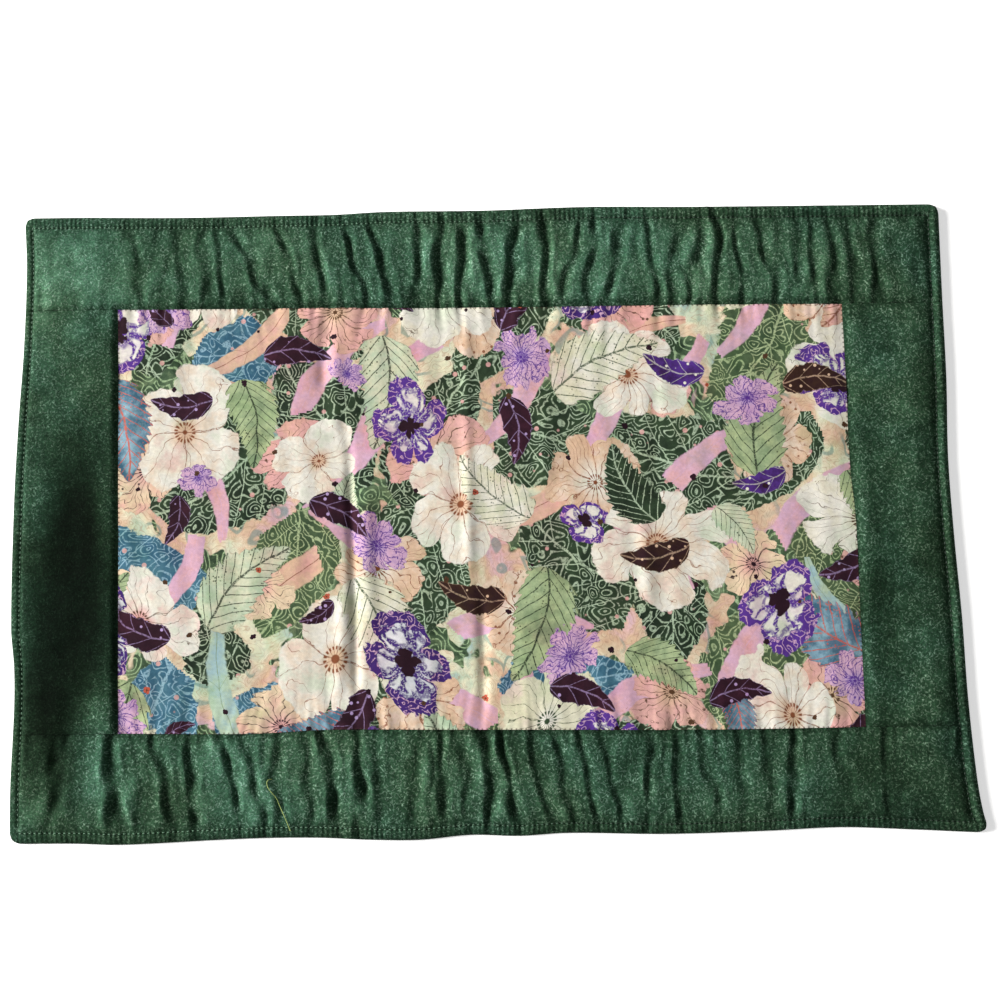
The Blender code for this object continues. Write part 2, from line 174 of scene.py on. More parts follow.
# %% From the ideal rectangle to the real mat
def insets(s, t):
    """How far points lie inside the nearer side and the nearer end of the rectangle."""
    return HALF_WIDTH - abs(s), HALF_DEPTH - abs(t)


def rounded(s, t):
    """Bends the square corners of the ideal rectangle into round ones."""
    from_side, from_end = insets(s, t)
    across = np.maximum(CORNER_RADIUS - from_side, 0.0)
    up = np.maximum(CORNER_RADIUS - from_end, 0.0)
    twice_square = 2 * CORNER_RADIUS**2
    in_corner = (across > 0) & (up > 0)
    new_s = HALF_WIDTH - CORNER_RADIUS + across * np.sqrt(1 - up**2 / twice_square)
    new_t = HALF_DEPTH - CORNER_RADIUS + up * np.sqrt(1 - across**2 / twice_square)
    s = np.where(in_corner, np.copysign(new_s, s), s)
    t = np.where(in_corner, np.copysign(new_t, t), t)
    return s, t


def on_scale(value, marks, places):
    """Reads value on a scale whose marks lie at the given places."""
    places = np.stack(places)
    i = np.clip(np.searchsorted(marks, value) - 1, 0, len(marks) - 2)
    each = np.arange(len(value))
    marks = np.array(marks)
    share = (value - marks[i]) / (marks[i + 1] - marks[i])
    return places[i, each] + (places[i + 1, each] - places[i, each]) * share


IDEAL_SIDES = (-HALF_WIDTH, -PANEL_HALF_WIDTH, PANEL_HALF_WIDTH, HALF_WIDTH)
IDEAL_ENDS = (-HALF_DEPTH, -PANEL_HALF_DEPTH, PANEL_HALF_DEPTH, HALF_DEPTH)


def place(s, t):
    """Where points of the ideal rectangle lie on the real mat."""
    s, t = rounded(np.atleast_1d(s).astype(float), np.atleast_1d(t).astype(float))
    sides = (
        -HALF_WIDTH - outward(MAT_LEFT, t),
        -PANEL_HALF_WIDTH - outward(SEAM_LEFT, t),
        PANEL_HALF_WIDTH + outward(SEAM_RIGHT, t),
        HALF_WIDTH + outward(MAT_RIGHT, t),
    )
    ends = (
        -HALF_DEPTH - outward(MAT_BOTTOM, s),
        -PANEL_HALF_DEPTH - outward(SEAM_BOTTOM, s),
        PANEL_HALF_DEPTH + outward(SEAM_TOP, s),
        HALF_DEPTH + outward(MAT_TOP, s),
    )
    return on_scale(s, IDEAL_SIDES, sides), on_scale(t, IDEAL_ENDS, ends)


corner_x, corner_y = place(HALF_WIDTH, -HALF_DEPTH)
print("bottom right corner at", corner_x.round(4), corner_y.round(4))

# %% [markdown]
# ## Folds
#
# Topstitching draws the green cloth up a little, so the long strips pucker: soft
# troughs run from the seam to the stitching. Each row below is one trough, with its
# place at both ends. The panel has a few long creases where the mat was once folded,
# and the side strips swell and sink more broadly.

# %% Fold tables
Profile = namedtuple("Profile", "inset height")
# The bead column is how much painted highlight the rolled bead gets.
Rim = namedtuple("Rim", "stitch_inset dimple bead_tone profile")
Pucker = namedtuple("Pucker", "seam_x stitch_x width depth")
Crease = namedtuple("Crease", "start_x start_y end_x end_y width rise")
Swell = namedtuple("Swell", "x y half_width half_depth rise")

LEFT_RIM = Rim(4.3, 0.30, 0.50, rows(
    Profile, (0.0, 1.2), (0.3, 1.9), (1.0, 2.5), (2.2, 2.8), (3.4, 2.7), (4.3, 2.4),
    (5.0, 2.9), (6.0, 3.7), (7.4, 4.1), (9.5, 4.2), (13.0, 4.3),
))
RIGHT_RIM = Rim(5.9, 0.10, 0.40, rows(
    Profile, (0.0, 1.2), (0.3, 2.0), (1.0, 2.9), (2.2, 3.7), (3.4, 3.9), (4.6, 3.4),
    (5.9, 2.7), (7.2, 3.1), (9.5, 3.7), (13.0, 4.0), (18.0, 4.3),
))
TOP_RIM = Rim(6.1, 0.20, 0.30, rows(
    Profile, (0.0, 1.2), (0.3, 2.0), (1.0, 2.8), (2.2, 3.4), (3.8, 3.6), (5.2, 3.4),
    (6.1, 3.2), (7.0, 3.5), (8.4, 3.9), (10.0, 4.1), (13.0, 4.3),
))
BOTTOM_RIM = Rim(5.0, 0.16, 0.10, rows(
    Profile, (0.0, 1.2), (0.3, 2.0), (1.0, 2.7), (2.2, 3.3), (3.8, 3.6), (5.0, 3.5),
    (6.0, 3.7), (8.0, 4.0), (10.0, 4.1), (13.0, 4.3),
))
TOP_PUCKERS = rows(
    Pucker, (-167.5, -178.1, 4.5, 0.6), (-147.3, -151.8, 4.5, 0.5),
    (-137.4, -138.4, 4.0, 0.6), (-130.5, -131.9, 4.0, 0.6), (-101.9, -127.9, 4.5, 1.2),
    (-90.6, -103.6, 4.0, 0.8), (-78.2, -84.7, 4.0, 1.3), (-58.0, -70.8, 4.0, 1.1),
    (-43.7, -56.9, 4.0, 1.3), (-33.8, -33.5, 4.0, 1.4), (-23.4, -22.1, 4.0, 1.5),
    (-11.6, -11.1, 4.0, 1.4), (3.7, -2.2, 4.0, 1.3), (10.1, 16.7, 4.5, 1.7),
    (30.3, 28.1, 4.0, 1.7), (37.3, 49.5, 4.0, 0.8), (50.6, 56.5, 4.0, 1.0),
    (58.0, 70.4, 4.0, 1.0), (86.1, 79.3, 4.0, 1.0), (92.0, 95.7, 4.5, 0.6),
    (100.4, 107.6, 4.0, 0.8), (114.2, 115.1, 4.0, 1.4), (127.6, 125.5, 4.0, 0.9),
    (145.3, 135.5, 4.0, 1.0), (155.2, 154.9, 4.5, 0.6), (163.1, 161.8, 4.0, 0.6),
    (173.9, 169.3, 4.0, 0.8), (183.3, 178.7, 4.0, 1.0), (194.7, 194.1, 4.5, 0.8),
)
BOTTOM_PUCKERS = rows(
    Pucker, (-204.6, -209.6, 6.0, 0.8), (-180.4, -176.7, 5.0, 1.7),
    (-161.5, -148.5, 4.0, 1.1), (-144.4, -138.7, 4.0, 1.3), (-128.3, -118.0, 4.0, 1.1),
    (-117.0, -107.2, 4.0, 1.1), (-102.3, -100.6, 4.5, 0.8), (-87.6, -85.6, 4.5, 0.8),
    (-80.0, -72.4, 4.0, 1.5), (-64.8, -62.1, 4.0, 1.4), (-54.4, -52.3, 4.5, 0.5),
    (-34.5, -36.8, 4.5, 0.6), (-24.6, -24.1, 4.0, 1.3), (-15.6, -10.5, 4.0, 0.8),
    (-4.7, 0.3, 4.0, 1.7), (3.4, 11.6, 4.0, 1.3), (19.0, 27.6, 4.0, 0.8),
    (29.0, 37.4, 4.0, 0.8), (40.3, 49.7, 4.0, 1.0), (51.7, 61.9, 4.0, 0.8),
    (74.0, 71.7, 4.0, 1.0), (86.3, 89.6, 4.0, 1.0), (99.5, 106.5, 4.0, 0.8),
    (115.2, 118.2, 4.5, 0.6), (128.9, 132.3, 4.5, 0.6), (141.7, 141.7, 4.0, 1.3),
    (163.0, 169.4, 5.0, 0.4), (184.8, 184.9, 5.0, 0.4),
)
PANEL_CREASES = rows(
    Crease, (-68, 40, -64, -95, 4.0, -1.3), (-60, 22, -58, -60, 6.0, 0.9),
    (-71, -35, -73, -90, 5.0, 0.8), (-11, 103, -10, -45, 5.0, 0.9),
    (-80, 103, -81, 60, 5.0, -0.9), (-71, 50, -67, 26, 5.0, -0.7),
    (-4, -34, -4, -103, 4.5, -0.9), (25, 64, 28, 10, 6.0, 0.6), (82, 76, 80, -6, 6.0, -0.5),
    (73, 6, 76, -50, 6.0, 0.6), (148, 55, 149, 2, 7.0, -0.5), (-73, 94, -75, 38, 6.0, 0.7),
    (14, 103, 12, 80, 5.0, 0.7), (-142, -15, -132, -60, 9.0, 0.5),
)
SIDE_SWELLS = rows(
    Swell, (-200, -14, 13, 40, -0.9), (-184, -100, 6, 30, 0.7), (-199, -98, 8, 26, -0.8),
    (-204, 86, 14, 26, 0.2), (199, 44, 9, 38, 0.3), (190, -50, 6, 40, -0.4),
    (207, -78, 8, 30, 0.3),
)

print(len(TOP_PUCKERS), "puckers above,", len(BOTTOM_PUCKERS), "below")

# %% [markdown]
# ## Small ripples
#
# Between the troughs real cloth is never flat. A sum of many slow waves with seeded
# directions gives an even, natural unrest from a few lines. The same waves, read along a
# seam only, give the short gathers that a sewing machine leaves there.


# %% Unrest of the cloth
def waves(x, y, shortest, longest, count, seed):
    """Slow waves in all directions, with values of about -1 to 1."""
    dice = np.random.default_rng(seed)
    total = np.zeros(np.shape(x))
    for _ in range(count):
        length = shortest + (longest - shortest) * dice.random()
        angle = dice.random() * math.tau
        phase = dice.random() * math.tau
        along = (x * math.cos(angle) + y * math.sin(angle)) / length
        total += np.sin(along * math.tau + phase)
    return total / math.sqrt(2 * count)


GATHER_HEIGHT = 0.00032
GATHER_REACH = 0.013
GATHER_LEAN = 0.25
UNREST = 0.00026
PANEL_UNREST = 0.00030
PLEAT_HEIGHT = 0.00068
PLEAT_LEAN = 0.0035
PLEAT_STRETCH = 0.17
PLEAT_ROUNDNESS = 0.015
PLEAT_LEVEL = 0.55


def pleats(x, y, seed):
    """Soft ridges with narrow valleys between them, running up the strip."""
    lean = x + PLEAT_LEAN * waves(x, y, 0.03, 0.08, count=8, seed=seed + 1)
    swing = waves(lean, PLEAT_STRETCH * y, 0.011, 0.019, count=26, seed=seed)
    patchy = 0.75 + 0.45 * waves(x, 0.5 * y, 0.04, 0.12, count=10, seed=seed + 2)
    return PLEAT_HEIGHT * patchy * (np.sqrt(swing**2 + PLEAT_ROUNDNESS) - PLEAT_LEVEL)


def gathers(x, from_seam, seed):
    """Short ripples that run away from a seam and die out."""
    lean = GATHER_LEAN * waves(x, 0 * x, 0.05, 0.12, count=6, seed=seed + 1)
    ripple = waves(x + lean * from_seam, 0 * x, 0.0035, 0.011, count=14, seed=seed)
    return GATHER_HEIGHT * ripple * np.exp(-from_seam / GATHER_REACH)


probe = waves(np.linspace(0, 0.2, 400), np.zeros(400), 0.008, 0.03, count=20, seed=5)
print("unrest runs from", probe.min().round(2), "to", probe.max().round(2))

# %% [markdown]
# ## Height of the green strips
#
# From the rim inwards the cloth rolls up, sinks into the stitched groove and rises to
# its full height. Each stitch pulls its own little dimple, so the roll is ribbed at the
# stitch pitch. Towards the panel the strip sinks again to the seam.

# %% Puckers and edge sewing
RIB_DEPTH = 0.00030
TOOTH_DEPTH = 0.00020
STITCH_GATHER = 0.7
SEAM_LINE_DEPTH = 0.00022
CORNER_BLEND = 0.004
PLEATS_TO = 0.168
PLEATS_FADE = 0.03
PLEATS_BEYOND = 0.35
PUCKER_AT_SEAM = 0.75
PUCKER_FULL_FROM = 0.25
PUCKER_FULL_TO = 0.86
PUCKER_ON_EDGE = 0.45
PUCKER_IN_PANEL = 0.3
PUCKER_PANEL_REACH = 0.012
PUCKER_WANDER = 0.0020
PUCKER_SWING = 0.60
TROUGH_SHARE = 0.85
LIP_SHARE = 0.24
LIP_AWAY = 0.95
DIMPLE_WIDTH = 0.0014
SEAM_LINE_WIDTH = 0.0012
TOOTH_WIDTH = 0.0024


def fold_profile(away, width):
    """A trough with a low lip on either side, where the cloth it took up has gone."""
    lips = LIP_SHARE * bell(abs(away) - LIP_AWAY * width, TROUGH_SHARE * width)
    return bell(away, TROUGH_SHARE * width) - lips


def pucker_depth(table, x, y, up):
    """How deep the puckers of a strip are, at a share up from seam to stitching."""
    wandering = x + PUCKER_WANDER * waves(x, y, 0.012, 0.045, count=10, seed=61)
    depth = np.zeros(np.shape(x))
    for pucker in table:
        middle = pucker.seam_x + (pucker.stitch_x - pucker.seam_x) * up
        depth += pucker.depth * fold_profile(wandering / MM - middle, pucker.width)
    swing = 1 + PUCKER_SWING * waves(x, y, 0.010, 0.030, count=10, seed=67)
    return depth * MM * swing


def patch_of(x, y, patch, strength):
    """A soft patch: strength in its middle, half of that at its half width or depth."""
    across = bell(x / MM - patch.x, 2 * patch.half_width)
    return strength * across * bell(y / MM - patch.y, 2 * patch.half_depth)


def swell_rise(x, y):
    """How far the broad swells of the side strips stand up."""
    return sum(patch_of(x, y, swell, swell.rise) for swell in SIDE_SWELLS) * MM


def puckers_at(t, x, y, up):
    """The depth of the top strip's puckers or the bottom strip's, as t lies."""
    upper = pucker_depth(TOP_PUCKERS, x, y, up)
    lower = pucker_depth(BOTTOM_PUCKERS, x, y, up)
    return np.where(t > 0, upper, lower)


def stitch_wave(along):
    """0 between two stitches and 1 at the middle of a stitch."""
    return 0.5 + 0.5 * np.cos(along / STITCH_PITCH * math.tau)


def rim_reading(s, t, read):
    """Reads a number off the rim of the nearest side, blended round the corners."""
    from_side, from_end = insets(s, t)
    beside = np.where(s < 0, read(LEFT_RIM), read(RIGHT_RIM))
    at_end = np.where(t < 0, read(BOTTOM_RIM), read(TOP_RIM))
    share = smooth_step(-CORNER_BLEND, CORNER_BLEND, from_end - from_side)
    return at_end + (beside - at_end) * share


def edge_sewing(s, t):
    """Ribs on the rolled edge and a dimple at each needle hole."""
    from_side, from_end = insets(s, t)
    inset = np.minimum(from_side, from_end)
    stitch_inset = rim_reading(s, t, lambda rim: rim.stitch_inset) * MM
    dimple = rim_reading(s, t, lambda rim: rim.dimple) * MM
    holes = 1 - stitch_wave(np.where(from_side < from_end, t, s))
    uneven = 0.90 + 0.35 * waves(s, t, 0.012, 0.04, count=8, seed=31)
    ribs = RIB_DEPTH * uneven * bell(inset - 0.5 * stitch_inset, stitch_inset)
    return holes * (ribs + dimple * bell(inset - stitch_inset, DIMPLE_WIDTH))


fold = fold_profile(np.array([0.0, 4.0]), 4.0).round(2)
print("depth of a fold in its middle and one width away:", fold)


# %% Seams of a strip
def side_seam_depth(s, t, y):
    """How far a side strip sinks to the panel's seam and to the long strips."""
    to_panel = PANEL_SEAM_DEPTH * bell(abs(s) - PANEL_HALF_WIDTH, SEAM_REACH)
    from_strip = PANEL_HALF_DEPTH - abs(t)
    depth = np.maximum(to_panel, STRIP_SEAM_DEPTH * bell(from_strip, SEAM_REACH))
    depth = depth + SEAM_LINE_DEPTH * bell(from_strip, SEAM_LINE_WIDTH)
    teeth = TOOTH_DEPTH * stitch_wave(t) * bell(abs(s) - PANEL_HALF_WIDTH, TOOTH_WIDTH)
    from_stitching = np.maximum(HALF_WIDTH - STITCH_INSET - abs(s), 0.0)
    return depth + teeth - STITCH_GATHER * gathers(y, 2 * from_stitching, 43)


def end_seam_depth(s, from_seam):
    """How far a long strip sinks to its seam, and the teeth of the stitches there."""
    beyond_panel = smooth_step(PANEL_HALF_WIDTH, PANEL_HALF_WIDTH + SEAM_BLEND, abs(s))
    depth = PANEL_SEAM_DEPTH + (STRIP_SEAM_DEPTH - PANEL_SEAM_DEPTH) * beyond_panel
    line = SEAM_LINE_DEPTH * bell(from_seam, SEAM_LINE_WIDTH) * beyond_panel
    teeth = TOOTH_DEPTH * stitch_wave(s) * bell(from_seam, TOOTH_WIDTH)
    return depth * bell(from_seam, SEAM_REACH) + line, teeth * (1 - beyond_panel)


def long_strip_folds(t, x, y):
    """The puckers of the top and bottom strips."""
    up = (abs(t) - PANEL_HALF_DEPTH) / (HALF_DEPTH - STITCH_INSET - PANEL_HALF_DEPTH)
    rising = smooth_step(0.0, PUCKER_FULL_FROM, up)
    falling = smooth_step(PUCKER_FULL_TO, 1.0, up)
    strength = PUCKER_AT_SEAM + (1 - PUCKER_AT_SEAM) * rising
    strength = strength * (1 - (1 - PUCKER_ON_EDGE) * falling)
    return puckers_at(t, x, y, np.clip(up, 0.0, 1.0)) * strength


seam_depth, _ = end_seam_depth(np.zeros(1), np.zeros(1))
print(f"the strips sink {seam_depth[0] / MM:.1f} mm to the panel's seam")


# %% Strip height
def strip_height(s, t, x, y):
    """Height of the green cloth: its rim, its unrest and pleats, its folds and seams."""
    inset = np.minimum(*insets(s, t))
    inner = smooth_step(0.5 * STITCH_INSET, 1.6 * STITCH_INSET, inset)
    height = rim_reading(s, t, lambda rim: along_curve(rim.profile, inset / MM)) * MM
    beside = abs(t) < PANEL_HALF_DEPTH
    folded = smooth_step(PLEATS_TO + PLEATS_FADE, PLEATS_TO, abs(x)) * (1 - PLEATS_BEYOND)
    folded = np.where(beside, 0.0, folded + PLEATS_BEYOND)
    moving = swell_rise(x, y) + UNREST * waves(x, y, 0.008, 0.036, count=30, seed=7)
    moving = moving + folded * pleats(x, y, 71)
    height = height + moving * inner - edge_sewing(s, t)
    from_seam = np.maximum(abs(t) - PANEL_HALF_DEPTH, 0.0)
    from_stitching = np.maximum(HALF_DEPTH - STITCH_INSET - abs(t), 0.0)
    drawn = gathers(x, from_seam, 11) + STITCH_GATHER * gathers(x, 2 * from_stitching, 37)
    seam, teeth = end_seam_depth(s, from_seam)
    folds = long_strip_folds(t, x, y) + teeth + (seam - drawn) * inner
    return height - np.where(beside, side_seam_depth(s, t, y) * inner, folds)


middle_height = float(strip_height(*np.array([[0.0], [0.13], [0.0], [0.13]]))[0])
print(f"the top strip is {middle_height / MM:.1f} mm high at its middle")

# %% [markdown]
# ## Height of the printed panel
#
# The panel is thinner cloth and lies lower. It sinks a little to its seams, carries the
# long creases, and repeats the puckers of the strips for the first centimetre.

# %% Panel height
CREASE_END = 0.2
PANEL_STRETCH = 0.35


def crease_rise(x, y):
    """How far the long creases of the panel stand up or sink."""
    rise = np.zeros(np.shape(x))
    for crease in PANEL_CREASES:
        share = (y / MM - crease.start_y) / (crease.end_y - crease.start_y)
        ends = smooth_step(0.0, CREASE_END, share)
        ends = ends * (1 - smooth_step(1 - CREASE_END, 1.0, share))
        middle = crease.start_x + (crease.end_x - crease.start_x) * share
        rise += crease.rise * ends * bell(x / MM - middle, crease.width)
    return rise * MM


def panel_height(s, t, x, y):
    """Height of the printed cloth: its edge, its creases, its unrest and its gathers."""
    from_side = np.maximum(PANEL_HALF_WIDTH - abs(s), 0.0)
    from_end = np.maximum(PANEL_HALF_DEPTH - abs(t), 0.0)
    edge = PANEL_EDGE_DEPTH * bell(np.minimum(from_side, from_end), 2 * SEAM_REACH)
    fading = PUCKER_IN_PANEL * np.exp(-from_end / PUCKER_PANEL_REACH)
    unrest = PANEL_UNREST * waves(x, PANEL_STRETCH * y, 0.009, 0.045, count=26, seed=17)
    folds = crease_rise(x, y) - puckers_at(t, x, y, 0.0) * fading
    return PANEL_HEIGHT - edge + folds + unrest + gathers(x, from_end, 23)


print(f"the panel is {panel_height(*np.zeros((4, 1)))[0] / MM:.1f} mm high at its middle")

# %% [markdown]
# ## Fine sheets
#
# A sheet starts as a flat grid. Its rim is extruded down and closed by one face, so the
# piece is a solid slab of cloth. Only then is every point moved to its place, by the
# outline and height functions above.


# %% Lines of a sheet
def steps(start, end, step):
    """Evenly spaced places from start to end, no further apart than step."""
    count = math.ceil(abs(end - start) / step - 1e-6)
    return list(np.linspace(start, end, count + 1))


def mirrored(places):
    """The same places on the other side of the middle, still in rising order."""
    return [-outside for outside in reversed(places)]


RIM_LINES = (0.0, 0.3, 0.7, 1.2, 1.9, 2.6, 3.3, 3.9, 4.4, 4.8, 5.2, 5.6, 6.1, 6.7, 7.4, 8.2)
FINE_STEP = STITCH_PITCH / 4
COARSE_STEP = 1.6 * FINE_STEP
PANEL_STEP = 0.00098


def outward_lines(panel_half, mat_half):
    """Lines from the panel's seam out to the rim, closest together on the rolled edge."""
    rim = [mat_half - inset * MM for inset in reversed(RIM_LINES)]
    seam = panel_half + PIECE_GAP / 2
    return steps(seam, rim[0], COARSE_STEP)[:-1] + rim


print("lines across a strip:", len(outward_lines(PANEL_HALF_DEPTH, HALF_DEPTH)))


# %% Reading and writing meshes
def read_all(items, name, width=1, kind=np.float32):
    """One value, or one row of values, for every point, corner or face."""
    flat = np.empty(len(items) * width, kind)
    items.foreach_get(name, flat)
    return flat.reshape(-1, width) if width > 1 else flat


def keep_values(data, name, kind, domain, values):
    """Writes an attribute that a material can read by its name."""
    made = data.attributes.new(name, kind, domain).data
    field = "value" if kind == "FLOAT" else "vector"
    made.foreach_set(field, values.astype(np.float32).ravel())


def mesh_of(form, name):
    """The finished mesh of a bmesh, which is then put away."""
    data = bpy.data.meshes.new(name)
    form.to_mesh(data)
    form.free()
    return data


def shown_as(name, data):
    """A new object in the scene, at the origin."""
    made = bpy.data.objects.new(name, data)
    bpy.context.scene.collection.objects.link(made)
    return made


print(len(bpy.data.meshes), "meshes before any cloth is made")


# %% A sheet of cloth
SHARP_ANGLE = math.radians(60)
RIM_TUCK = 0.0005


def cloth_piece(name, across, up, height_at):
    """One closed piece of cloth, with its points on the given lines."""
    form = bmesh.new()
    middle = Matrix.Translation((0.5, 0.5, 1.0))
    wide, deep = len(across) - 1, len(up) - 1
    bmesh.ops.create_grid(form, x_segments=wide, y_segments=deep, size=0.5, matrix=middle)
    rim = [edge for edge in form.edges if edge.is_boundary]
    walls = bmesh.ops.extrude_edge_only(form, edges=rim)["geom"]
    for vert in (part for part in walls if isinstance(part, bmesh.types.BMVert)):
        vert.co.z = 0.0
    lower_rim = [part for part in walls if isinstance(part, bmesh.types.BMEdge)]
    lower_rim = [edge for edge in lower_rim if edge.is_boundary]
    bmesh.ops.contextual_create(form, geom=lower_rim)
    bmesh.ops.recalc_face_normals(form, faces=form.faces[:])
    data = mesh_of(form, name)
    shape_sheet(data, across, up, height_at)
    data.shade_smooth()
    data.set_sharp_from_angle(angle=SHARP_ANGLE)
    return shown_as(name, data)


def shape_sheet(data, across, up, height_at):
    """Moves the points of a unit slab to their places on the mat."""
    points = read_all(data.vertices, "co", 3).astype(float)
    top = points[:, 2] > 0.5
    s = np.array(across)[np.rint(points[:, 0] * (len(across) - 1)).astype(int)]
    t = np.array(up)[np.rint(points[:, 1] * (len(up) - 1)).astype(int)]
    tuck = np.where(top, 0.0, RIM_TUCK)
    s = np.clip(s, -HALF_WIDTH + tuck, HALF_WIDTH - tuck)
    t = np.clip(t, -HALF_DEPTH + tuck, HALF_DEPTH - tuck)
    x, y = place(s, t)
    z = np.where(top, np.maximum(height_at(s, t, x, y), LEAST_HEIGHT), 0.0)
    data.vertices.foreach_set("co", np.stack([x, y, z], 1).astype(np.float32).ravel())
    keep_values(data, "cut_place", "FLOAT_VECTOR", "POINT", np.stack([s, t, z], 1) / MM)
    data.update()


print("edges over", round(math.degrees(SHARP_ANGLE)), "degrees stay sharp")

# %% The four green strips
strip_lines = outward_lines(PANEL_HALF_DEPTH, HALF_DEPTH)
side_lines = outward_lines(PANEL_HALF_WIDTH, HALF_WIDTH)
rim_to_rim = mirrored(side_lines)[: len(RIM_LINES)]
inner_edge = rim_to_rim[-1]
full_width = rim_to_rim[:-1] + steps(inner_edge, -inner_edge, FINE_STEP)
full_width += mirrored(rim_to_rim)[1:]
seam_row = PANEL_HALF_DEPTH - PIECE_GAP / 2
side_rows = steps(-seam_row, seam_row, FINE_STEP)

top_strip = cloth_piece("top_strip", full_width, strip_lines, strip_height)
bottom_strip = cloth_piece("bottom_strip", full_width, mirrored(strip_lines), strip_height)
left_strip = cloth_piece("left_strip", mirrored(side_lines), side_rows, strip_height)
right_strip = cloth_piece("right_strip", side_lines, side_rows, strip_height)
strips = (top_strip, bottom_strip, left_strip, right_strip)
for strip in strips:
    print(strip.name, len(strip.data.vertices), "points")

# %% The printed panel
seam_column = PANEL_HALF_WIDTH - PIECE_GAP / 2
panel_columns = steps(-seam_column, seam_column, PANEL_STEP)
panel_rows = steps(-seam_row, seam_row, PANEL_STEP)
printed_panel = cloth_piece("printed_panel", panel_columns, panel_rows, panel_height)
print(printed_panel.name, len(printed_panel.data.vertices), "points")

# %% [markdown]
# ## Topstitching
#
# About 640 stitches run round the mat in the groove. One stitch is a small grain of
# thread with few faces, because it is repeated so often, and all of them are joined in
# one piece that follows the groove's height.

# %% Stitches
STITCH_LENGTH = 0.00150
STITCH_WIDTH = 0.00050
STITCH_RISE = 0.00008
STITCH_LEAN = 0.06


def stitch_line():
    """Middles of the stitches on the ideal rectangle, and which of them lie across."""
    left = LEFT_RIM.stitch_inset * MM - HALF_WIDTH
    right = HALF_WIDTH - RIGHT_RIM.stitch_inset * MM
    low = BOTTOM_RIM.stitch_inset * MM - HALF_DEPTH
    high = HALF_DEPTH - TOP_RIM.stitch_inset * MM
    s_run = np.arange(math.ceil(left / STITCH_PITCH), right / STITCH_PITCH) * STITCH_PITCH
    t_run = np.arange(math.ceil(low / STITCH_PITCH), high / STITCH_PITCH) * STITCH_PITCH
    s = np.concatenate([s_run, s_run, 0 * t_run + left, 0 * t_run + right])
    t = np.concatenate([0 * s_run + high, 0 * s_run + low, t_run, t_run])
    return s, t, np.arange(len(s)) < 2 * len(s_run)


def stitch_mesh():
    """All the stitches, joined."""
    s, t, across = stitch_line()
    x, y = place(s, t)
    z = strip_height(s, t, x, y) + STITCH_RISE
    half_pitch = STITCH_PITCH / 2
    ahead_x, ahead_y = place(s + across * half_pitch, t + (1 - across) * half_pitch)
    dice = np.random.default_rng(3)
    size = Matrix.Diagonal((STITCH_LENGTH, STITCH_WIDTH, STITCH_WIDTH, 1.0))
    joined = bmesh.new()
    for i in range(len(s)):
        turn = math.atan2(ahead_y[i] - y[i], ahead_x[i] - x[i])
        turn = Matrix.Rotation(turn + dice.normal(0, STITCH_LEAN), 4, "Z")
        spot = Matrix.Translation((x[i], y[i], z[i])) @ turn @ size
        bmesh.ops.create_uvsphere(
            joined, u_segments=6, v_segments=4, radius=0.5, matrix=spot
        )
    data = mesh_of(joined, "topstitching")
    data.shade_smooth()
    return data


topstitching = shown_as("topstitching", stitch_mesh())
print(len(stitch_line()[0]), "stitches with", len(topstitching.data.polygons), "faces")

# %% [markdown]
# ## A loose thread end
#
# One end of sewing thread was never trimmed. It is a curve with a round section, made
# into a mesh once its points lie just above the cloth.

# %% Loose thread
Lie = namedtuple("Lie", "x y above")
LOOSE_THREAD = rows(
    Lie, (-95.6, -148.0, 0.2), (-97.3, -143.6, 0.5), (-100.6, -136.6, 0.4),
    (-102.3, -132.6, 0.3), (-104.6, -129.8, 0.6), (-106.4, -126.6, 0.7),
    (-106.2, -124.6, 0.5), (-104.6, -124.1, 0.2),
)
THREAD_RADIUS = 0.00019


def ideal_place(x, y):
    """Where a point of the real mat lies on the ideal rectangle, by a few corrections."""
    s, t = np.array([x]), np.array([y])
    for _ in range(4):
        now_x, now_y = place(s, t)
        s, t = s + x - now_x, t + y - now_y
    return s, t


def thread_mesh():
    """The thread end as a mesh, from a curve with a round section."""
    curve = bpy.data.curves.new("loose_thread", "CURVE")
    curve.dimensions = "3D"
    curve.bevel_depth = THREAD_RADIUS
    curve.bevel_resolution = 1
    curve.resolution_u = 6
    curve.use_fill_caps = True
    line = curve.splines.new("BEZIER")
    line.bezier_points.add(len(LOOSE_THREAD) - 1)
    for point, lie in zip(line.bezier_points, LOOSE_THREAD):
        x, y = lie.x * MM, lie.y * MM
        s, t = ideal_place(x, y)
        z = float(strip_height(s, t, np.array([x]), np.array([y]))[0])
        point.co = (x, y, z + lie.above * MM + THREAD_RADIUS)
        point.handle_left_type = point.handle_right_type = "AUTO"
    drawn = bpy.data.objects.new("drawn_thread", curve)
    data = bpy.data.meshes.new_from_object(drawn)
    bpy.data.objects.remove(drawn)
    data.shade_smooth()
    return data


loose_thread = shown_as("loose_thread", thread_mesh())
print(len(loose_thread.data.polygons), "faces of loose thread")

# %% [markdown]
# ## Painted light and shade on the green cloth
#
# The green cloth has a short nap and a tone that differs at random. On top of that its
# colour carries painted shade and painted light: the troughs of the folds, the ribs and
# the needle holes are painted darker, and the crests and the rolled bead lighter. The
# table places soft patches of painted shadow and painted light. The tone is kept at every
# point of the strips for the material to read.

# %% Painted light and shade
Nap = namedtuple("Nap", "x y half_width half_depth tone")
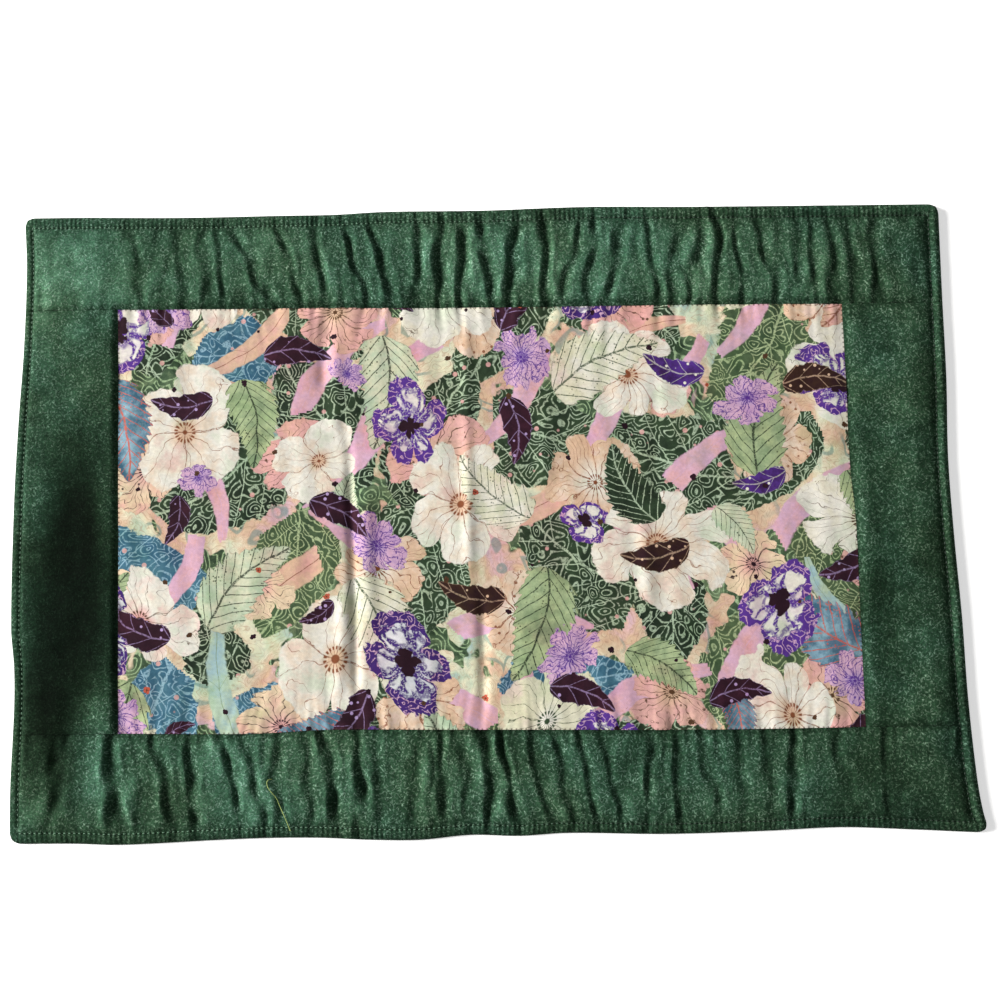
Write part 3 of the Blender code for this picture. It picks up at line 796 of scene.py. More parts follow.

# Each row is a soft patch of painted light and shade: a tone below 0 is painted shadow, a
# tone above 0 painted light.
PAINTED_LIGHT_PATCHES = rows(
    Nap, (-200, 40, 24, 16, -0.9), (-199, -4, 10, 22, -2.6), (-201, -40, 19, 28, -2.3),
    (-192, -56, 12, 20, -1.0), (-211, -92, 11, 24, -2.4), (-213, -66, 6, 40, -0.6),
    (-184, -88, 6, 18, -0.8), (-199, 2, 6, 14, -0.8), (-188, 10, 3, 14, 0.6),
    (-216, 50, 8, 50, 0.25), (-203, -120, 7, 10, -0.6), (-186, -124, 10, 14, 0.6),
    (-216, -134, 10, 12, 0.5), (-206, 126, 26, 20, 1.3), (-222, 122, 6, 34, 0.4),
    (-120, 128, 46, 26, 0.3), (30, 128, 90, 30, 0.70), (-110, -130, 60, 24, 0.72),
    (190, -60, 24, 90, -0.45), (200, -138, 30, 18, -0.7), (190, 60, 20, 60, -0.20),
    (179.5, 10, 3, 96, 0.45), (186, 10, 2.5, 96, -0.25),
)
# Painted shade in the troughs of the folds and painted highlight on their crests.
TROUGH_SHADE_TONE = 0.55
CREST_HIGHLIGHT_TONE = 1.6
FULL_HEIGHT = 0.00395
RELIEF_SPAN = 0.0013
RELIEF_LIMITS = (-1.6, 0.8)
DARKEST_TONE = -3.2
# Painted shade in the ribs and needle holes of the rolled edge.
STITCH_SHADE_TONE = 0.5
BROAD_TONE = 0.30
FINE_TONE = 0.18
BLOTCH_TONE = 0.5
BEAD_MIDDLE = 0.0026
RIM_SHARE = 0.4


def off_the_rim(inset, start, end):
    """What a tone has left on the rolled edge, and 1 on the flat of the cloth."""
    return RIM_SHARE + (1 - RIM_SHARE) * smooth_step(start, end, inset)


def tone_with_painted_light(x, y, z, s, t):
    """Tone of the green cloth, in doublings of brightness: random tone, with painted shade
    and painted light on top.
    """
    inset = np.minimum(*insets(s, t))
    tone = BROAD_TONE * waves(x, y, 0.018, 0.07, count=24, seed=41)
    tone = tone + FINE_TONE * waves(x, y, 0.005, 0.016, count=24, seed=47)
    # Painted shade in the troughs and painted highlight on the crests, from the height of
    # the cloth.
    relief_shading = np.clip((z - FULL_HEIGHT) / RELIEF_SPAN, *RELIEF_LIMITS)
    relief_shading = relief_shading * np.where(relief_shading > 0, CREST_HIGHLIGHT_TONE, TROUGH_SHADE_TONE)
    tone = tone + relief_shading * off_the_rim(inset, 0.003, 0.009)
    # Painted shade in the ribs and needle holes of the rolled edge.
    tone = tone - STITCH_SHADE_TONE * edge_sewing(s, t) / RIB_DEPTH
    # Painted highlight along the rolled bead.
    bead_lightening = rim_reading(s, t, lambda rim: rim.bead_tone)
    tone = tone + bead_lightening * bell(inset - BEAD_MIDDLE, 2 * BEAD_MIDDLE)
    # The patches of painted light and shade are weaker on the rolled edge than on the flat
    # of the cloth.
    patch_strength = off_the_rim(inset, 0.002, 0.007)
    for patch in PAINTED_LIGHT_PATCHES:
        tone = tone + patch_of(x, y, patch, patch.tone) * patch_strength
    blotchy = BLOTCH_TONE * waves(x, y, 0.008, 0.030, count=20, seed=53)
    return np.maximum(tone, DARKEST_TONE + blotchy)


for strip in strips:
    x, y, z = read_all(strip.data.vertices, "co", 3).T
    s, t, _ = read_all(strip.data.attributes["cut_place"].data, "vector", 3).T * MM
    tone = tone_with_painted_light(x, y, z, s, t)
    keep_values(strip.data, "nap", "FLOAT", "POINT", tone)
    print(f"{strip.name}: nap from {tone.min():.2f} to {tone.max():.2f}")

# %% [markdown]
# ## Placing the print
#
# The print is a collage of leaves and flowers in layers. Each row of the table is one
# layer, with the size of its motifs. A seeded throw places them so that two of a layer
# never overlap, and each face of the panel keeps where it lies in its motif, as a
# coordinate that runs from -1 to 1. The material then draws the motif from that, so its
# outline stays sharp however fine the sheet is.

# %% Print layers
Layer = namedtuple("Layer", "name tries smallest largest apart seed")
Motif = namedtuple("Motif", "x y size angle variety")

PRINT_LAYERS = rows(
    Layer, ("broad_leaf", 600, 0.026, 0.050, 0.58, 101),
    ("ribbon", 400, 0.026, 0.046, 0.50, 102), ("peach_bloom", 400, 0.018, 0.030, 1.02, 108),
    ("cream_bloom", 500, 0.025, 0.042, 0.90, 103),
    ("veined_leaf", 500, 0.014, 0.030, 1.20, 104),
    ("striped_bloom", 400, 0.019, 0.034, 1.70, 105), ("tuft", 400, 0.012, 0.020, 2.60, 109),
    ("seed_pod", 400, 0.008, 0.018, 1.80, 106), ("seed", 300, 0.0010, 0.0022, 7.5, 107),
)
FAR_AWAY = 9.0
MOTIF_REACH = 1.1


def throw_motifs(layer):
    """Seeded places for one layer's motifs, the largest first."""
    dice = np.random.default_rng(layer.seed)
    motifs = []
    for attempt in range(layer.tries):
        size = layer.largest - (layer.largest - layer.smallest) * attempt / layer.tries
        x = dice.uniform(-PANEL_HALF_WIDTH - size / 2, PANEL_HALF_WIDTH + size / 2)
        y = dice.uniform(-PANEL_HALF_DEPTH - size / 2, PANEL_HALF_DEPTH + size / 2)
        angle = dice.uniform(0, math.tau)
        variety = dice.random()
        if not any(
            layer.apart * (size + m.size) > math.hypot(x - m.x, y - m.y) for m in motifs
        ):
            motifs.append(Motif(x, y, size, angle, variety))
    return motifs


def keep_motifs(piece, layer, motifs):
    """Writes at each corner of each face where it lies in the layer's motif."""
    data = piece.data
    points = read_all(data.vertices, "co", 3)
    centres = read_all(data.polygons, "center", 3)
    corner_point = read_all(data.loops, "vertex_index", kind=np.int32)
    corner_count = read_all(data.polygons, "loop_total", kind=np.int32)
    nearest = np.full(len(centres), -1)
    least = np.full(len(centres), np.inf)
    for i, motif in enumerate(motifs):
        away = np.hypot(centres[:, 0] - motif.x, centres[:, 1] - motif.y) / motif.size
        closer = away < np.minimum(least, MOTIF_REACH)
        nearest[closer] = i
        least[closer] = away[closer]
    chosen = np.repeat(nearest, corner_count)
    own = np.array(motifs)[chosen]
    dx = points[corner_point, 0] - own[:, 0]
    dy = points[corner_point, 1] - own[:, 1]
    cos, sin = np.cos(own[:, 3]), np.sin(own[:, 3])
    along = (dx * cos + dy * sin) / own[:, 2]
    aside = (dy * cos - dx * sin) / own[:, 2]
    spot = np.stack([along, aside, own[:, 4]], 1)
    spot[chosen < 0] = (FAR_AWAY, FAR_AWAY, 0.0)
    keep_values(data, layer.name, "FLOAT_VECTOR", "CORNER", spot)


for layer in PRINT_LAYERS:
    motifs = throw_motifs(layer)
    keep_motifs(printed_panel, layer, motifs)
    print(layer.name, len(motifs), "motifs")

# %% [markdown]
# ## Wiring materials
#
# Materials are networks of nodes. A small helper adds nodes, and its signals take
# ordinary arithmetic, so that a pattern can be written like a sum. An effect that is used
# more than once becomes a node group with named sockets.


# %% Signals
def arithmetic(operation, turned=False):
    """Arithmetic between a signal and a number or another signal, as a Math node."""

    def work(signal, other=0.0):
        pair = (other, signal) if turned else (signal, other)
        return signal.wiring.math(operation, *pair)

    return work


class Signal:
    """A value on its way through a node tree."""

    def __init__(self, wiring, socket):
        self.wiring, self.socket = wiring, socket

    __add__ = arithmetic("ADD")
    __sub__ = arithmetic("SUBTRACT")
    __rsub__ = arithmetic("SUBTRACT", turned=True)
    __mul__ = arithmetic("MULTIPLY")
    __truediv__ = arithmetic("DIVIDE")
    __rtruediv__ = arithmetic("DIVIDE", turned=True)
    __pow__ = arithmetic("POWER")
    __rpow__ = arithmetic("POWER", turned=True)
    __abs__ = arithmetic("ABSOLUTE")


def tell_names(kind):
    print(kind.__name__ + ":", ", ".join(name for name in vars(kind) if name[0] != "_"))


print("a signal can be added, taken away, multiplied, divided and raised")


# %% A helper for nodes
class Joinery:
    """Adds nodes to one tree and joins their sockets."""

    def __init__(self, tree):
        self.tree = tree
        self.kept = {}

    def once(self, name, make):
        """What make() puts in the tree, made the first time that it is asked for."""
        if name not in self.kept:
            self.kept[name] = make()
        return self.kept[name]

    def put(self, socket, value):
        """Joins a signal to a socket, or types a number into it."""
        if isinstance(value, Signal):
            self.tree.links.new(value.socket, socket)
        else:
            socket.default_value = value

    def fill(self, sockets, **values):
        """Puts every value in the socket of its name: Vein_Width is Vein Width."""
        for name, value in values.items():
            self.put(sockets[name.replace("_", " ")], value)

    def signals(self, made):
        """All outputs of a node, by name."""
        return {socket.name: Signal(self, socket) for socket in made.outputs}

    def node(self, kind, inputs=(), output=0, **settings):
        """A new node with its settings and inputs; gives one of its outputs."""
        made = self.tree.nodes.new("ShaderNode" + kind)
        for name, value in settings.items():
            setattr(made, name, value)
        keyed = inputs.items() if isinstance(inputs, dict) else enumerate(inputs)
        for key, value in keyed:
            self.put(made.inputs[key], value)
        return Signal(self, made.outputs[output])

    def group(self, tree, **values):
        """A node group in this tree; gives all its outputs."""
        made = self.node("Group", node_tree=tree).socket.node
        self.fill(made.inputs, **values)
        return self.signals(made)


tell_names(Joinery)


# %% Numbers and vectors
class Reckoning(Joinery):
    """Adds nodes that reckon with numbers and vectors."""

    def math(self, operation, a, b=0.0, clamp=False):
        return self.node("Math", (a, b), operation=operation, use_clamp=clamp)

    def larger(self, a, b):
        return self.math("MAXIMUM", a, b)

    def fraction(self, a):
        """What is left of a number without its whole part."""
        return self.math("FRACT", a)

    def off_middle(self, turns):
        """How far a count of turns is from the middle of its turn, at most a half."""
        return abs(self.fraction(turns) - 0.5)

    def between(self, value, low, high, start=0.0, end=1.0):
        """value from low to high, as start to end, and no further."""
        return self.node("MapRange", (value, low, high, start, end))

    def line(self, away, half_width):
        """1 on a line and 0 beyond half_width from it."""
        return self.between(away, half_width * 0.5, half_width, 1.0, 0.0)

    def vector(self, operation, a, b=(0.0, 0.0, 0.0), output=0):
        return self.node("VectorMath", (a, b), output, operation=operation)

    def scaled(self, a, scale):
        return self.node("VectorMath", {0: a, "Scale": scale}, operation="SCALE")

    def split(self, a):
        return list(self.signals(self.node("SeparateXYZ", (a,)).socket.node).values())

    def joined(self, x=0.0, y=0.0, z=0.0):
        return self.node("CombineXYZ", (x, y, z))

    def grey(self, value):
        return self.joined(value, value, value)


tell_names(Reckoning)


# %% Textures and colours
class Wiring(Reckoning):
    """Adds noises, ramps and bumps too: all that the materials need."""

    def attribute(self, name, output="Vector"):
        """What was written at the points or corners of the piece under this name."""
        return self.node("Attribute", output=output, attribute_name=name)

    @property
    def place(self):
        """Where a point of the piece is, in millimetres."""
        return self.once(
            "place", lambda: self.scaled(self.node("TexCoord", output="Object"), 1 / MM)
        )

    def noise(self, place, scale, detail=2.0, roughness=0.5, output=0):
        settings = {"Scale": scale, "Detail": detail, "Roughness": roughness}
        return self.node("TexNoise", {"Vector": place, **settings}, output)

    def wobble(self, place, scale, detail=2.0, roughness=0.5):
        """A noise that swings about 0."""
        return self.noise(place, scale, detail, roughness) - 0.5

    def warped(self, place, scale, reach, detail=3.0):
        """The place, pushed about by a soft noise, as ink and dye run."""
        push = self.noise(place, scale, detail, output="Color")
        push = self.vector("SUBTRACT", push, (0.5, 0.5, 0.5))
        return self.vector("ADD", place, self.scaled(push, reach))

    def cells(self, place, scale, randomness=1.0):
        """How far each place is from the middle of its own scattered cell."""
        settings = {"Scale": scale, "Randomness": randomness}
        return self.node("TexVoronoi", {"Vector": place, **settings}, feature="F1")

    def mix(self, share, a, b, blend="MIX"):
        inputs = {0: share, 6: a, 7: b}
        return self.node("Mix", inputs, 2, data_type="RGBA", blend_type=blend)

    def tinted(self, shade, tint, share=1.0):
        """A colour darkened by another one, as a dye over it would."""
        return self.mix(share, shade, tint, "MULTIPLY")

    def ramp(self, value, *stops, sharp=False):
        """A colour for each value: stops are (position, colour)."""
        made = self.node("ValToRGB", (value,))
        ramp = made.socket.node.color_ramp
        ramp.interpolation = "CONSTANT" if sharp else "LINEAR"
        for position, _ in stops[2:]:
            ramp.elements.new(position)
        for element, (position, shade) in zip(ramp.elements, stops):
            element.position, element.color = position, shade
        return made

    def bump(self, height, distance, strength):
        inputs = {"Height": height, "Distance": distance, "Strength": strength}
        return self.node("Bump", inputs)


tell_names(Wiring)


# %% New groups, materials and colours
def new_group(name, vector, numbers, outputs):
    """An empty group with one vector and some numbers to fill in, and its outputs."""
    tree = bpy.data.node_groups.new(name, "ShaderNodeTree")
    kinds = [(vector, "INPUT", "Vector")]
    kinds += [(label, "INPUT", "Float") for label in numbers]
    kinds += [(label, "OUTPUT", "Float") for label in outputs]
    for label, way, kind in kinds:
        label = label.replace("_", " ")
        tree.interface.new_socket(label, in_out=way, socket_type="NodeSocket" + kind)
    w = Wiring(tree)
    start = w.signals(tree.nodes.new("NodeGroupInput"))
    return tree, w, start, tree.nodes.new("NodeGroupOutput").inputs


def new_material(name):
    """A material with only its Principled shader, and the wiring of its tree."""
    material = bpy.data.materials.new(name)
    material.use_nodes = True
    shader = material.node_tree.nodes["Principled BSDF"].inputs
    return material, Wiring(material.node_tree), shader


def colour(red, green, blue):
    """A colour given as screen values from 0 to 255, as the linear numbers of a node."""
    shares = [value / 255 for value in (red, green, blue)]
    linear = [v / 12.92 if v <= 0.04045 else ((v + 0.055) / 1.055) ** 2.4 for v in shares]
    return (*linear, 1.0)


def tell_nodes(name, tree):
    print(name, "has", len(tree.nodes), "nodes")


print("forest green in linear numbers:", [round(v, 3) for v in colour(52, 80, 60)])

# %% [markdown]
# ## How a flower is drawn
#
# In polar terms a flower is easy: its outline is a distance from the middle that swings
# once for each petal, and its veins are rays that fan out inside each petal. A little
# noise makes both look drawn by hand.

# %% Flower group
FLOWER_SOCKETS = "Petals Notch Ruffle Vein_Count Vein_Width Spread Bars"
Flower = namedtuple("Flower", FLOWER_SOCKETS, defaults=(0.0,))
EDGE_SHARPNESS = 60.0
BAR_PITCH = 1 / 3.2
STAMENS = 17.0


def own_stretch(w, flat, variety, stride):
    """Each motif's own stretch of noise, a stride of its random number away."""
    return w.vector("ADD", flat, w.scaled(w.grey(variety), stride))


def flower_group():
    """A flower in polar terms: its shape, its veins, and its eye with stamens."""
    outputs = ("Shape", "Veins", "Reach", "Middle")
    tree, w, start, end = new_group("flower_print", "Spot", Flower._fields, outputs)
    vein_count, vein_width = start["Vein Count"], start["Vein Width"]
    x, y, variety = w.split(start["Spot"])
    # Some flowers are seen a little from the side.
    y = y * (w.fraction(variety * 7.3) * 0.35 + 1.0)
    flat = w.joined(x, y)
    wander = own_stretch(w, flat, variety, 37.0)
    wobble = w.wobble(wander, 1.3)
    ragged = w.wobble(wander, 5.0, 4.0, 0.65)
    radius = w.vector("LENGTH", flat, output="Value")
    petals = start["Petals"] + w.math("FLOOR", w.fraction(variety * 11.9) * 3.0)
    angle = wobble * 1.8 + w.math("ARCTAN2", y, x)
    turns = (angle + math.pi) * (petals / math.tau)
    petal = w.math("FLOOR", w.math("FLOORED_MODULO", turns, petals))
    # Every petal has a length of its own, and a notch on either side.
    long = w.noise(w.joined(petal * 3.7, variety * 57.0), 1.0, 0.0)
    across = w.fraction(turns) - 0.5
    side = abs(across) * 2.0
    reach = start["Ruffle"] * ragged + (0.92 - start["Notch"] * side**3.0)
    reach = reach * w.between(long, 0.3, 0.7, 0.66, 1.0)
    inside = reach - radius
    shape = w.math("MULTIPLY", inside, EDGE_SHARPNESS, clamp=True)
    # Rays: their distance from one another grows with the radius, but not their width.
    spacing = radius * (math.tau / (petals * vein_count))
    rays = across * vein_count + w.wobble(wander, 4.0) * 1.3
    width = vein_width * w.between(radius, 0.1, 0.95, 1.0, start["Spread"])
    veins = w.line(w.off_middle(rays) * spacing, width)
    veins = veins * w.between(radius, 0.04, 0.08)
    forked = rays * 2.0 + radius * 0.8
    twigs = w.line(w.off_middle(forked) * spacing * 0.5, width * 0.7)
    veins = w.larger(veins, twigs * w.between(radius, 0.42, 0.5))
    # Bars cross the rays and leave pale cells between them.
    bar_turns = w.noise(wander, 3.0, 1.0) * 1.6 + radius / BAR_PITCH
    bars = w.line(w.off_middle(bar_turns) * BAR_PITCH, vein_width)
    veins = w.larger(veins, bars * start["Bars"])
    folds = w.line((1.0 - side) * radius, vein_width * 1.6)
    lines = w.larger(w.larger(veins, folds), w.line(inside, vein_width * 1.2))
    # A small eye, with a ring of stamens round it.
    stamens = w.line(w.off_middle(angle * (STAMENS / math.tau)), 0.36)
    ring_place = wobble * 0.12 + radius
    ring = w.line(abs(ring_place - 0.12), 0.028)
    eye = w.between(ring_place, 0.035, 0.05, 1.0, 0.0)
    share = w.math("DIVIDE", radius, w.larger(reach, 0.1), clamp=True)
    w.fill(end, Shape=shape, Veins=lines * shape, Reach=share)
    w.fill(end, Middle=w.larger(eye, stamens * ring))
    return tree


flower_print = flower_group()
tell_nodes(flower_print.name, flower_print)

# %% [markdown]
# ## How a leaf is drawn
#
# A leaf is two arcs about a midrib. Side veins are slanting stripes, and a notch between
# them turns the same leaf into a fern frond.

# %% Leaf group
Leaf = namedtuple("Leaf", "Width Notch Bend Vein_Count Vein_Width")


def leaf_group():
    """A leaf about its midrib: its shape, its veins, and the way out from the midrib."""
    outputs = ("Shape", "Veins", "Rise")
    tree, w, start, end = new_group("leaf_print", "Spot", Leaf._fields, outputs)
    vein_count, vein_width = start["Vein Count"], start["Vein Width"]
    x, y, variety = w.split(start["Spot"])
    wander = own_stretch(w, w.joined(x, y), variety, 53.0)
    y = y + x * x * start["Bend"] + w.wobble(wander, 2.0) * 0.14
    away = abs(y)
    round_end = w.math("SQRT", w.larger(0.9 - x * x, 0.0))
    half = round_end * (x * -0.45 + 0.85) * start["Width"]
    slant = x - away * 1.1
    stripe_away = w.off_middle(slant * vein_count)
    half = half * (1.0 - start["Notch"] * (1.0 - stripe_away * 2.0))
    half = half * (w.wobble(wander, 7.0, 4.0, 0.65) * 0.5 + 1.0)
    inside = half - away
    shape = w.math("MULTIPLY", inside, EDGE_SHARPNESS, clamp=True)
    veins = w.line((0.5 - stripe_away) / vein_count, vein_width)
    midrib = w.line(away, vein_width * 1.5)
    lines = w.larger(w.larger(veins, midrib), w.line(inside, vein_width * 1.3))
    rise = w.math("DIVIDE", away, w.larger(half, 0.02), clamp=True)
    w.fill(end, Shape=shape, Veins=lines * shape, Rise=rise)
    return tree


leaf_print = leaf_group()
tell_nodes(leaf_print.name, leaf_print)

# %% [markdown]
# ## Printed ground
#
# Between the motifs the cloth is washed with soft colours, and darker green patches are
# filled with light rings and arcs, like overlapping scales.

# %% Rings and dots
def ring_group():
    """Light rings round scattered middles, at a pitch given in millimetres."""
    numbers = ("Size", "Rings", "Line")
    tree, w, start, end = new_group("ring_print", "Place", numbers, ("Lines",))
    bent = w.warped(start["Place"], 0.05, 14.0, detail=2.0)
    middle = w.cells(bent, 1.0 / start["Size"])
    away = w.off_middle(middle * start["Rings"])
    w.fill(end, Lines=w.line(away, start["Line"]))
    return tree


ring_print = ring_group()


def ring_lines(w, place, **sizes):
    return w.group(ring_print, Place=place, **sizes)["Lines"]


def dots(w, size, radius):
    """Round dots, one in each cell of the given size in millimetres."""
    middle = w.cells(w.place, 1.0 / size, randomness=0.8)
    return w.between(middle, radius, radius * 1.25, 1.0, 0.0)


def blots(w, scale, low, high):
    """Soft blots; every layer that asks for the same scale shares one noise."""
    cloud = w.once(f"blots {scale}", lambda: w.noise(w.place, scale, 4.0, 0.68))
    return w.between(cloud, low, high)


def worn_ink(w, lines, strength):
    """Lines broken by the grain of the ink, which all the layers share."""
    grain = w.once(
        "grain", lambda: w.between(w.noise(w.place, 1.1), 0.34, 0.50, 0.25, 1.0)
    )
    return lines * grain * strength


tell_nodes(ring_print.name, ring_print)


# %% Ground of the print
def print_ground(w):
    """Colour of the cloth between the motifs."""
    bent = w.warped(w.place, 0.03, 40.0)
    wash = w.ramp(
        w.noise(bent, 0.024, 4.0, 0.6),
        (0.30, colour(150, 184, 200)),
        (0.37, colour(190, 208, 186)),
        (0.44, colour(230, 228, 202)),
        (0.50, colour(226, 206, 180)),
        (0.56, colour(220, 186, 160)),
        (0.62, colour(222, 184, 186)),
        (0.72, colour(196, 180, 206)),
    )
    scribble = worn_ink(w, ring_lines(w, bent, Size=6.0, Rings=4.0, Line=0.12), 0.45)
    wash = w.mix(scribble, wash, colour(164, 124, 104))
    scroll = ring_lines(w, w.place, Size=17.0, Rings=2.3, Line=0.13)
    where = w.between(w.noise(w.place, 0.03, 2.0), 0.48, 0.53)
    wash = w.mix(scroll * (where * 0.6), wash, colour(92, 140, 138))
    leafy = w.ramp(
        w.noise(bent, 0.09, 4.0, 0.65),
        (0.32, colour(34, 50, 36)),
        (0.50, colour(70, 92, 68)),
        (0.68, colour(122, 142, 108)),
    )
    rings = worn_ink(w, ring_lines(w, w.place, Size=11.0, Rings=5.6, Line=0.19), 0.85)
    leafy = w.mix(rings, leafy, colour(168, 194, 152))
    patch = w.noise(w.vector("ADD", bent, (310.0, 90.0, 0.0)), 0.024, 3.0, 0.6)
    return w.mix(w.between(patch, 0.550, 0.560), wash, leafy)


print("the ground has a wash, a scribble, a scroll and leafy patches")

# %% [markdown]
# ## Colours of the motifs
#
# Every motif carries a random number, its variety. A stepped ramp turns that into one of
# a few printed colours, so that neighbours differ as in a hand-made collage. Inside a
# motif a second colour runs into the first in blots, as dye does, and the ink of its
# lines is broken by a fine grain.

# %% Inks
Ink = namedtuple("Ink", "start body blot line")

CREAM = colour(235, 231, 222)
STRAW = colour(222, 220, 194)
PEACH = colour(222, 188, 162)
ROSE = colour(226, 172, 170)
ORCHID = colour(216, 176, 206)
MINT = colour(184, 204, 178)
LIME = colour(182, 198, 154)
SAGE = colour(128, 150, 116)
MOSS = colour(54, 74, 52)
PINE = colour(28, 40, 30)
TEAL = colour(48, 92, 120)
SKY = colour(150, 186, 206)
VIOLET = colour(88, 52, 146)
LILAC = colour(184, 158, 210)
PLUM = colour(40, 16, 30)
RUST = colour(132, 76, 50)
CORAL = colour(206, 98, 76)
UMBER = colour(84, 58, 38)


def ink_ramps(w, variety, inks):
    """The body, blot and line colours that a motif's variety picks."""
    picked = []
    for column in ("body", "blot", "line"):
        stops = [(ink.start, getattr(ink, column)) for ink in inks]
        picked.append(w.ramp(variety, *stops, sharp=True))
    return picked


def draw_leaf(w, name, form, inks, run=0.6, ink=0.9):
    """The colour, the shape and the ink colour of one layer of leaves."""
    spot = w.attribute(name)
    body, blot, line = ink_ramps(w, w.split(spot)[2], inks)
    leaf = w.group(leaf_print, Spot=spot, **form._asdict())
    share = blots(w, 0.11, 0.42, 0.62) + (1.0 - leaf["Rise"]) * 0.4
    shade = w.mix(w.math("MULTIPLY", share, run, clamp=True), body, blot)
    shade = w.mix(worn_ink(w, leaf["Veins"], ink), shade, line)
    return shade, leaf["Shape"], line


def draw_flower(w, name, form, inks, glow=0.5, run=0.5, ink=0.9):
    """The colour, shape, ink colour and reach of one layer of flowers."""
    spot = w.attribute(name)
    body, blot, line = ink_ramps(w, w.split(spot)[2], inks)
    flower = w.group(flower_print, Spot=spot, **form._asdict())
    inward = w.between(flower["Reach"], 0.12, glow, 1.0, 0.0)
    run_in = blots(w, 0.09, 0.46, 0.62) * run
    shade = w.mix(w.larger(inward, run_in), body, blot)
    shade = w.mix(worn_ink(w, flower["Veins"], ink), shade, line)
    shade = w.mix(flower["Middle"], shade, line)
    return shade, flower["Shape"], line, flower["Reach"]


print("cream in linear numbers:", [round(v, 3) for v in CREAM])

# %% [markdown]
# ## Layers of the print
#
# Each layer gives its colour and its shape, and is laid over what is below it. Dark
# leaves filled with lace come first, then ribbons, pale blooms, veined leaves, violet
# blooms, tufts, small dark pods and seeds.


# %% Leaves of the print
def broad_leaves(w):
    inks = rows(
        Ink,
        (0.0, MOSS, PINE, MINT),
        (0.42, colour(84, 104, 74), MOSS, LIME),
        (0.60, TEAL, colour(84, 130, 150), SKY),
        (0.80, PINE, MOSS, MINT),
    )
    form = Leaf(Width=0.66, Notch=0.06, Bend=0.25, Vein_Count=3.0, Vein_Width=0.010)
    leaf, shape, line = draw_leaf(w, "broad_leaf", form, inks)
    lace = ring_lines(w, w.warped(w.place, 0.05, 6.0), Size=8.0, Rings=4.6, Line=0.19)
    leaf = w.mix(worn_ink(w, lace, 0.8), leaf, line)
    return w.mix(dots(w, 9.0, 0.12) * 0.8, leaf, ROSE), shape


def ribbons(w):
    inks = rows(
        Ink,
        (0.0, ORCHID, ROSE, ORCHID),
        (0.7, MINT, SKY, SAGE),
        (0.85, PEACH, ROSE, RUST),
    )
    form = Leaf(Width=0.17, Notch=0.0, Bend=0.30, Vein_Count=1.0, Vein_Width=0.004)
    return draw_leaf(w, "ribbon", form, inks)[:2]


def veined_leaves(w):
    inks = rows(
        Ink,
        (0.0, LIME, SAGE, PINE),
        (0.30, MINT, STRAW, PINE),
        (0.50, STRAW, CREAM, MOSS),
        (0.66, PEACH, ROSE, RUST),
        (0.78, TEAL, SKY, CORAL),
        (0.88, PINE, MOSS, MINT),
    )
    form = Leaf(Width=0.62, Notch=0.18, Bend=0.22, Vein_Count=5.0, Vein_Width=0.016)
    leaf, shape, line = draw_leaf(w, "veined_leaf", form, inks, run=0.7)
    speck = dots(w, 1.7, 0.22) * blots(w, 0.09, 0.47, 0.56)
    return w.mix(speck * 0.8, leaf, line), shape


def seed_pods(w):
    inks = rows(
        Ink,
        (0.0, PLUM, colour(66, 30, 48), LILAC),
        (0.62, colour(58, 36, 26), PLUM, PEACH),
        (0.80, VIOLET, PLUM, CREAM),
    )
    form = Leaf(Width=0.50, Notch=0.12, Bend=0.25, Vein_Count=2.0, Vein_Width=0.020)
    pod, shape, line = draw_leaf(w, "seed_pod", form, inks, ink=0.5)
    return w.mix(dots(w, 5.0, 0.14), pod, line), shape


print("layers of leaves, ribbons and pods")


# %% Pale flowers of the print
def peach_blooms(w):
    inks = rows(
        Ink,
        (0.0, PEACH, CREAM, RUST),
        (0.40, ROSE, PEACH, UMBER),
        (0.70, colour(232, 208, 178), ROSE, PLUM),
    )
    form = Flower(
        Petals=4.0, Notch=0.30, Ruffle=0.30, Vein_Count=3.0, Vein_Width=0.011, Spread=0.5
    )
    bloom, shape, line, _ = draw_flower(w, "peach_bloom", form, inks, glow=0.6)
    freckles = dots(w, 3.4, 0.20) * blots(w, 0.06, 0.50, 0.56)
    return w.mix(freckles * 0.9, bloom, line), shape


def cream_blooms(w):
    inks = rows(
        Ink,
        (0.0, CREAM, STRAW, UMBER),
        (0.30, STRAW, CREAM, MOSS),
        (0.58, CREAM, PEACH, RUST),
        (0.86, CREAM, ROSE, UMBER),
    )
    form = Flower(
        Petals=4.0, Notch=0.34, Ruffle=0.22, Vein_Count=3.0, Vein_Width=0.0065, Spread=0.45
    )
    return draw_flower(w, "cream_bloom", form, inks, glow=0.35, run=0.40, ink=0.8)[:2]


print("layers of peach and cream blooms")


# %% Violet flowers and seeds of the print
def striped_blooms(w):
    inks = rows(
        Ink,
        (0.0, CREAM, LILAC, VIOLET),
        (0.50, colour(226, 224, 230), SKY, colour(66, 40, 116)),
        (0.78, CREAM, ROSE, VIOLET),
    )
    form = Flower(
        Petals=3.0, Notch=0.40, Ruffle=0.34, Vein_Count=2.2, Vein_Width=0.050,
        Spread=1.5, Bars=0.75,
    )
    drawn = draw_flower(w, "striped_bloom", form, inks, glow=0.2, run=0.35, ink=1.0)
    bloom, shape, line, reach = drawn
    # The rim of the petals is inked, with pale loops on it, and so is the heart.
    outer = w.noise(w.place, 0.12, 3.0) * 0.7 + reach
    bloom = w.mix(w.between(outer, 1.06, 1.09), bloom, line)
    loops = ring_lines(w, w.warped(w.place, 0.12, 9.0), Size=5.0, Rings=2.6, Line=0.16)
    outside = w.between(outer, 1.08, 1.1) * worn_ink(w, loops, 0.85)
    bloom = w.mix(outside, bloom, ORCHID)
    heart = w.noise(w.place, 0.16, 3.0) * 0.5 + reach
    return w.mix(w.between(heart, 0.50, 0.52, 1.0, 0.0), bloom, PLUM), shape


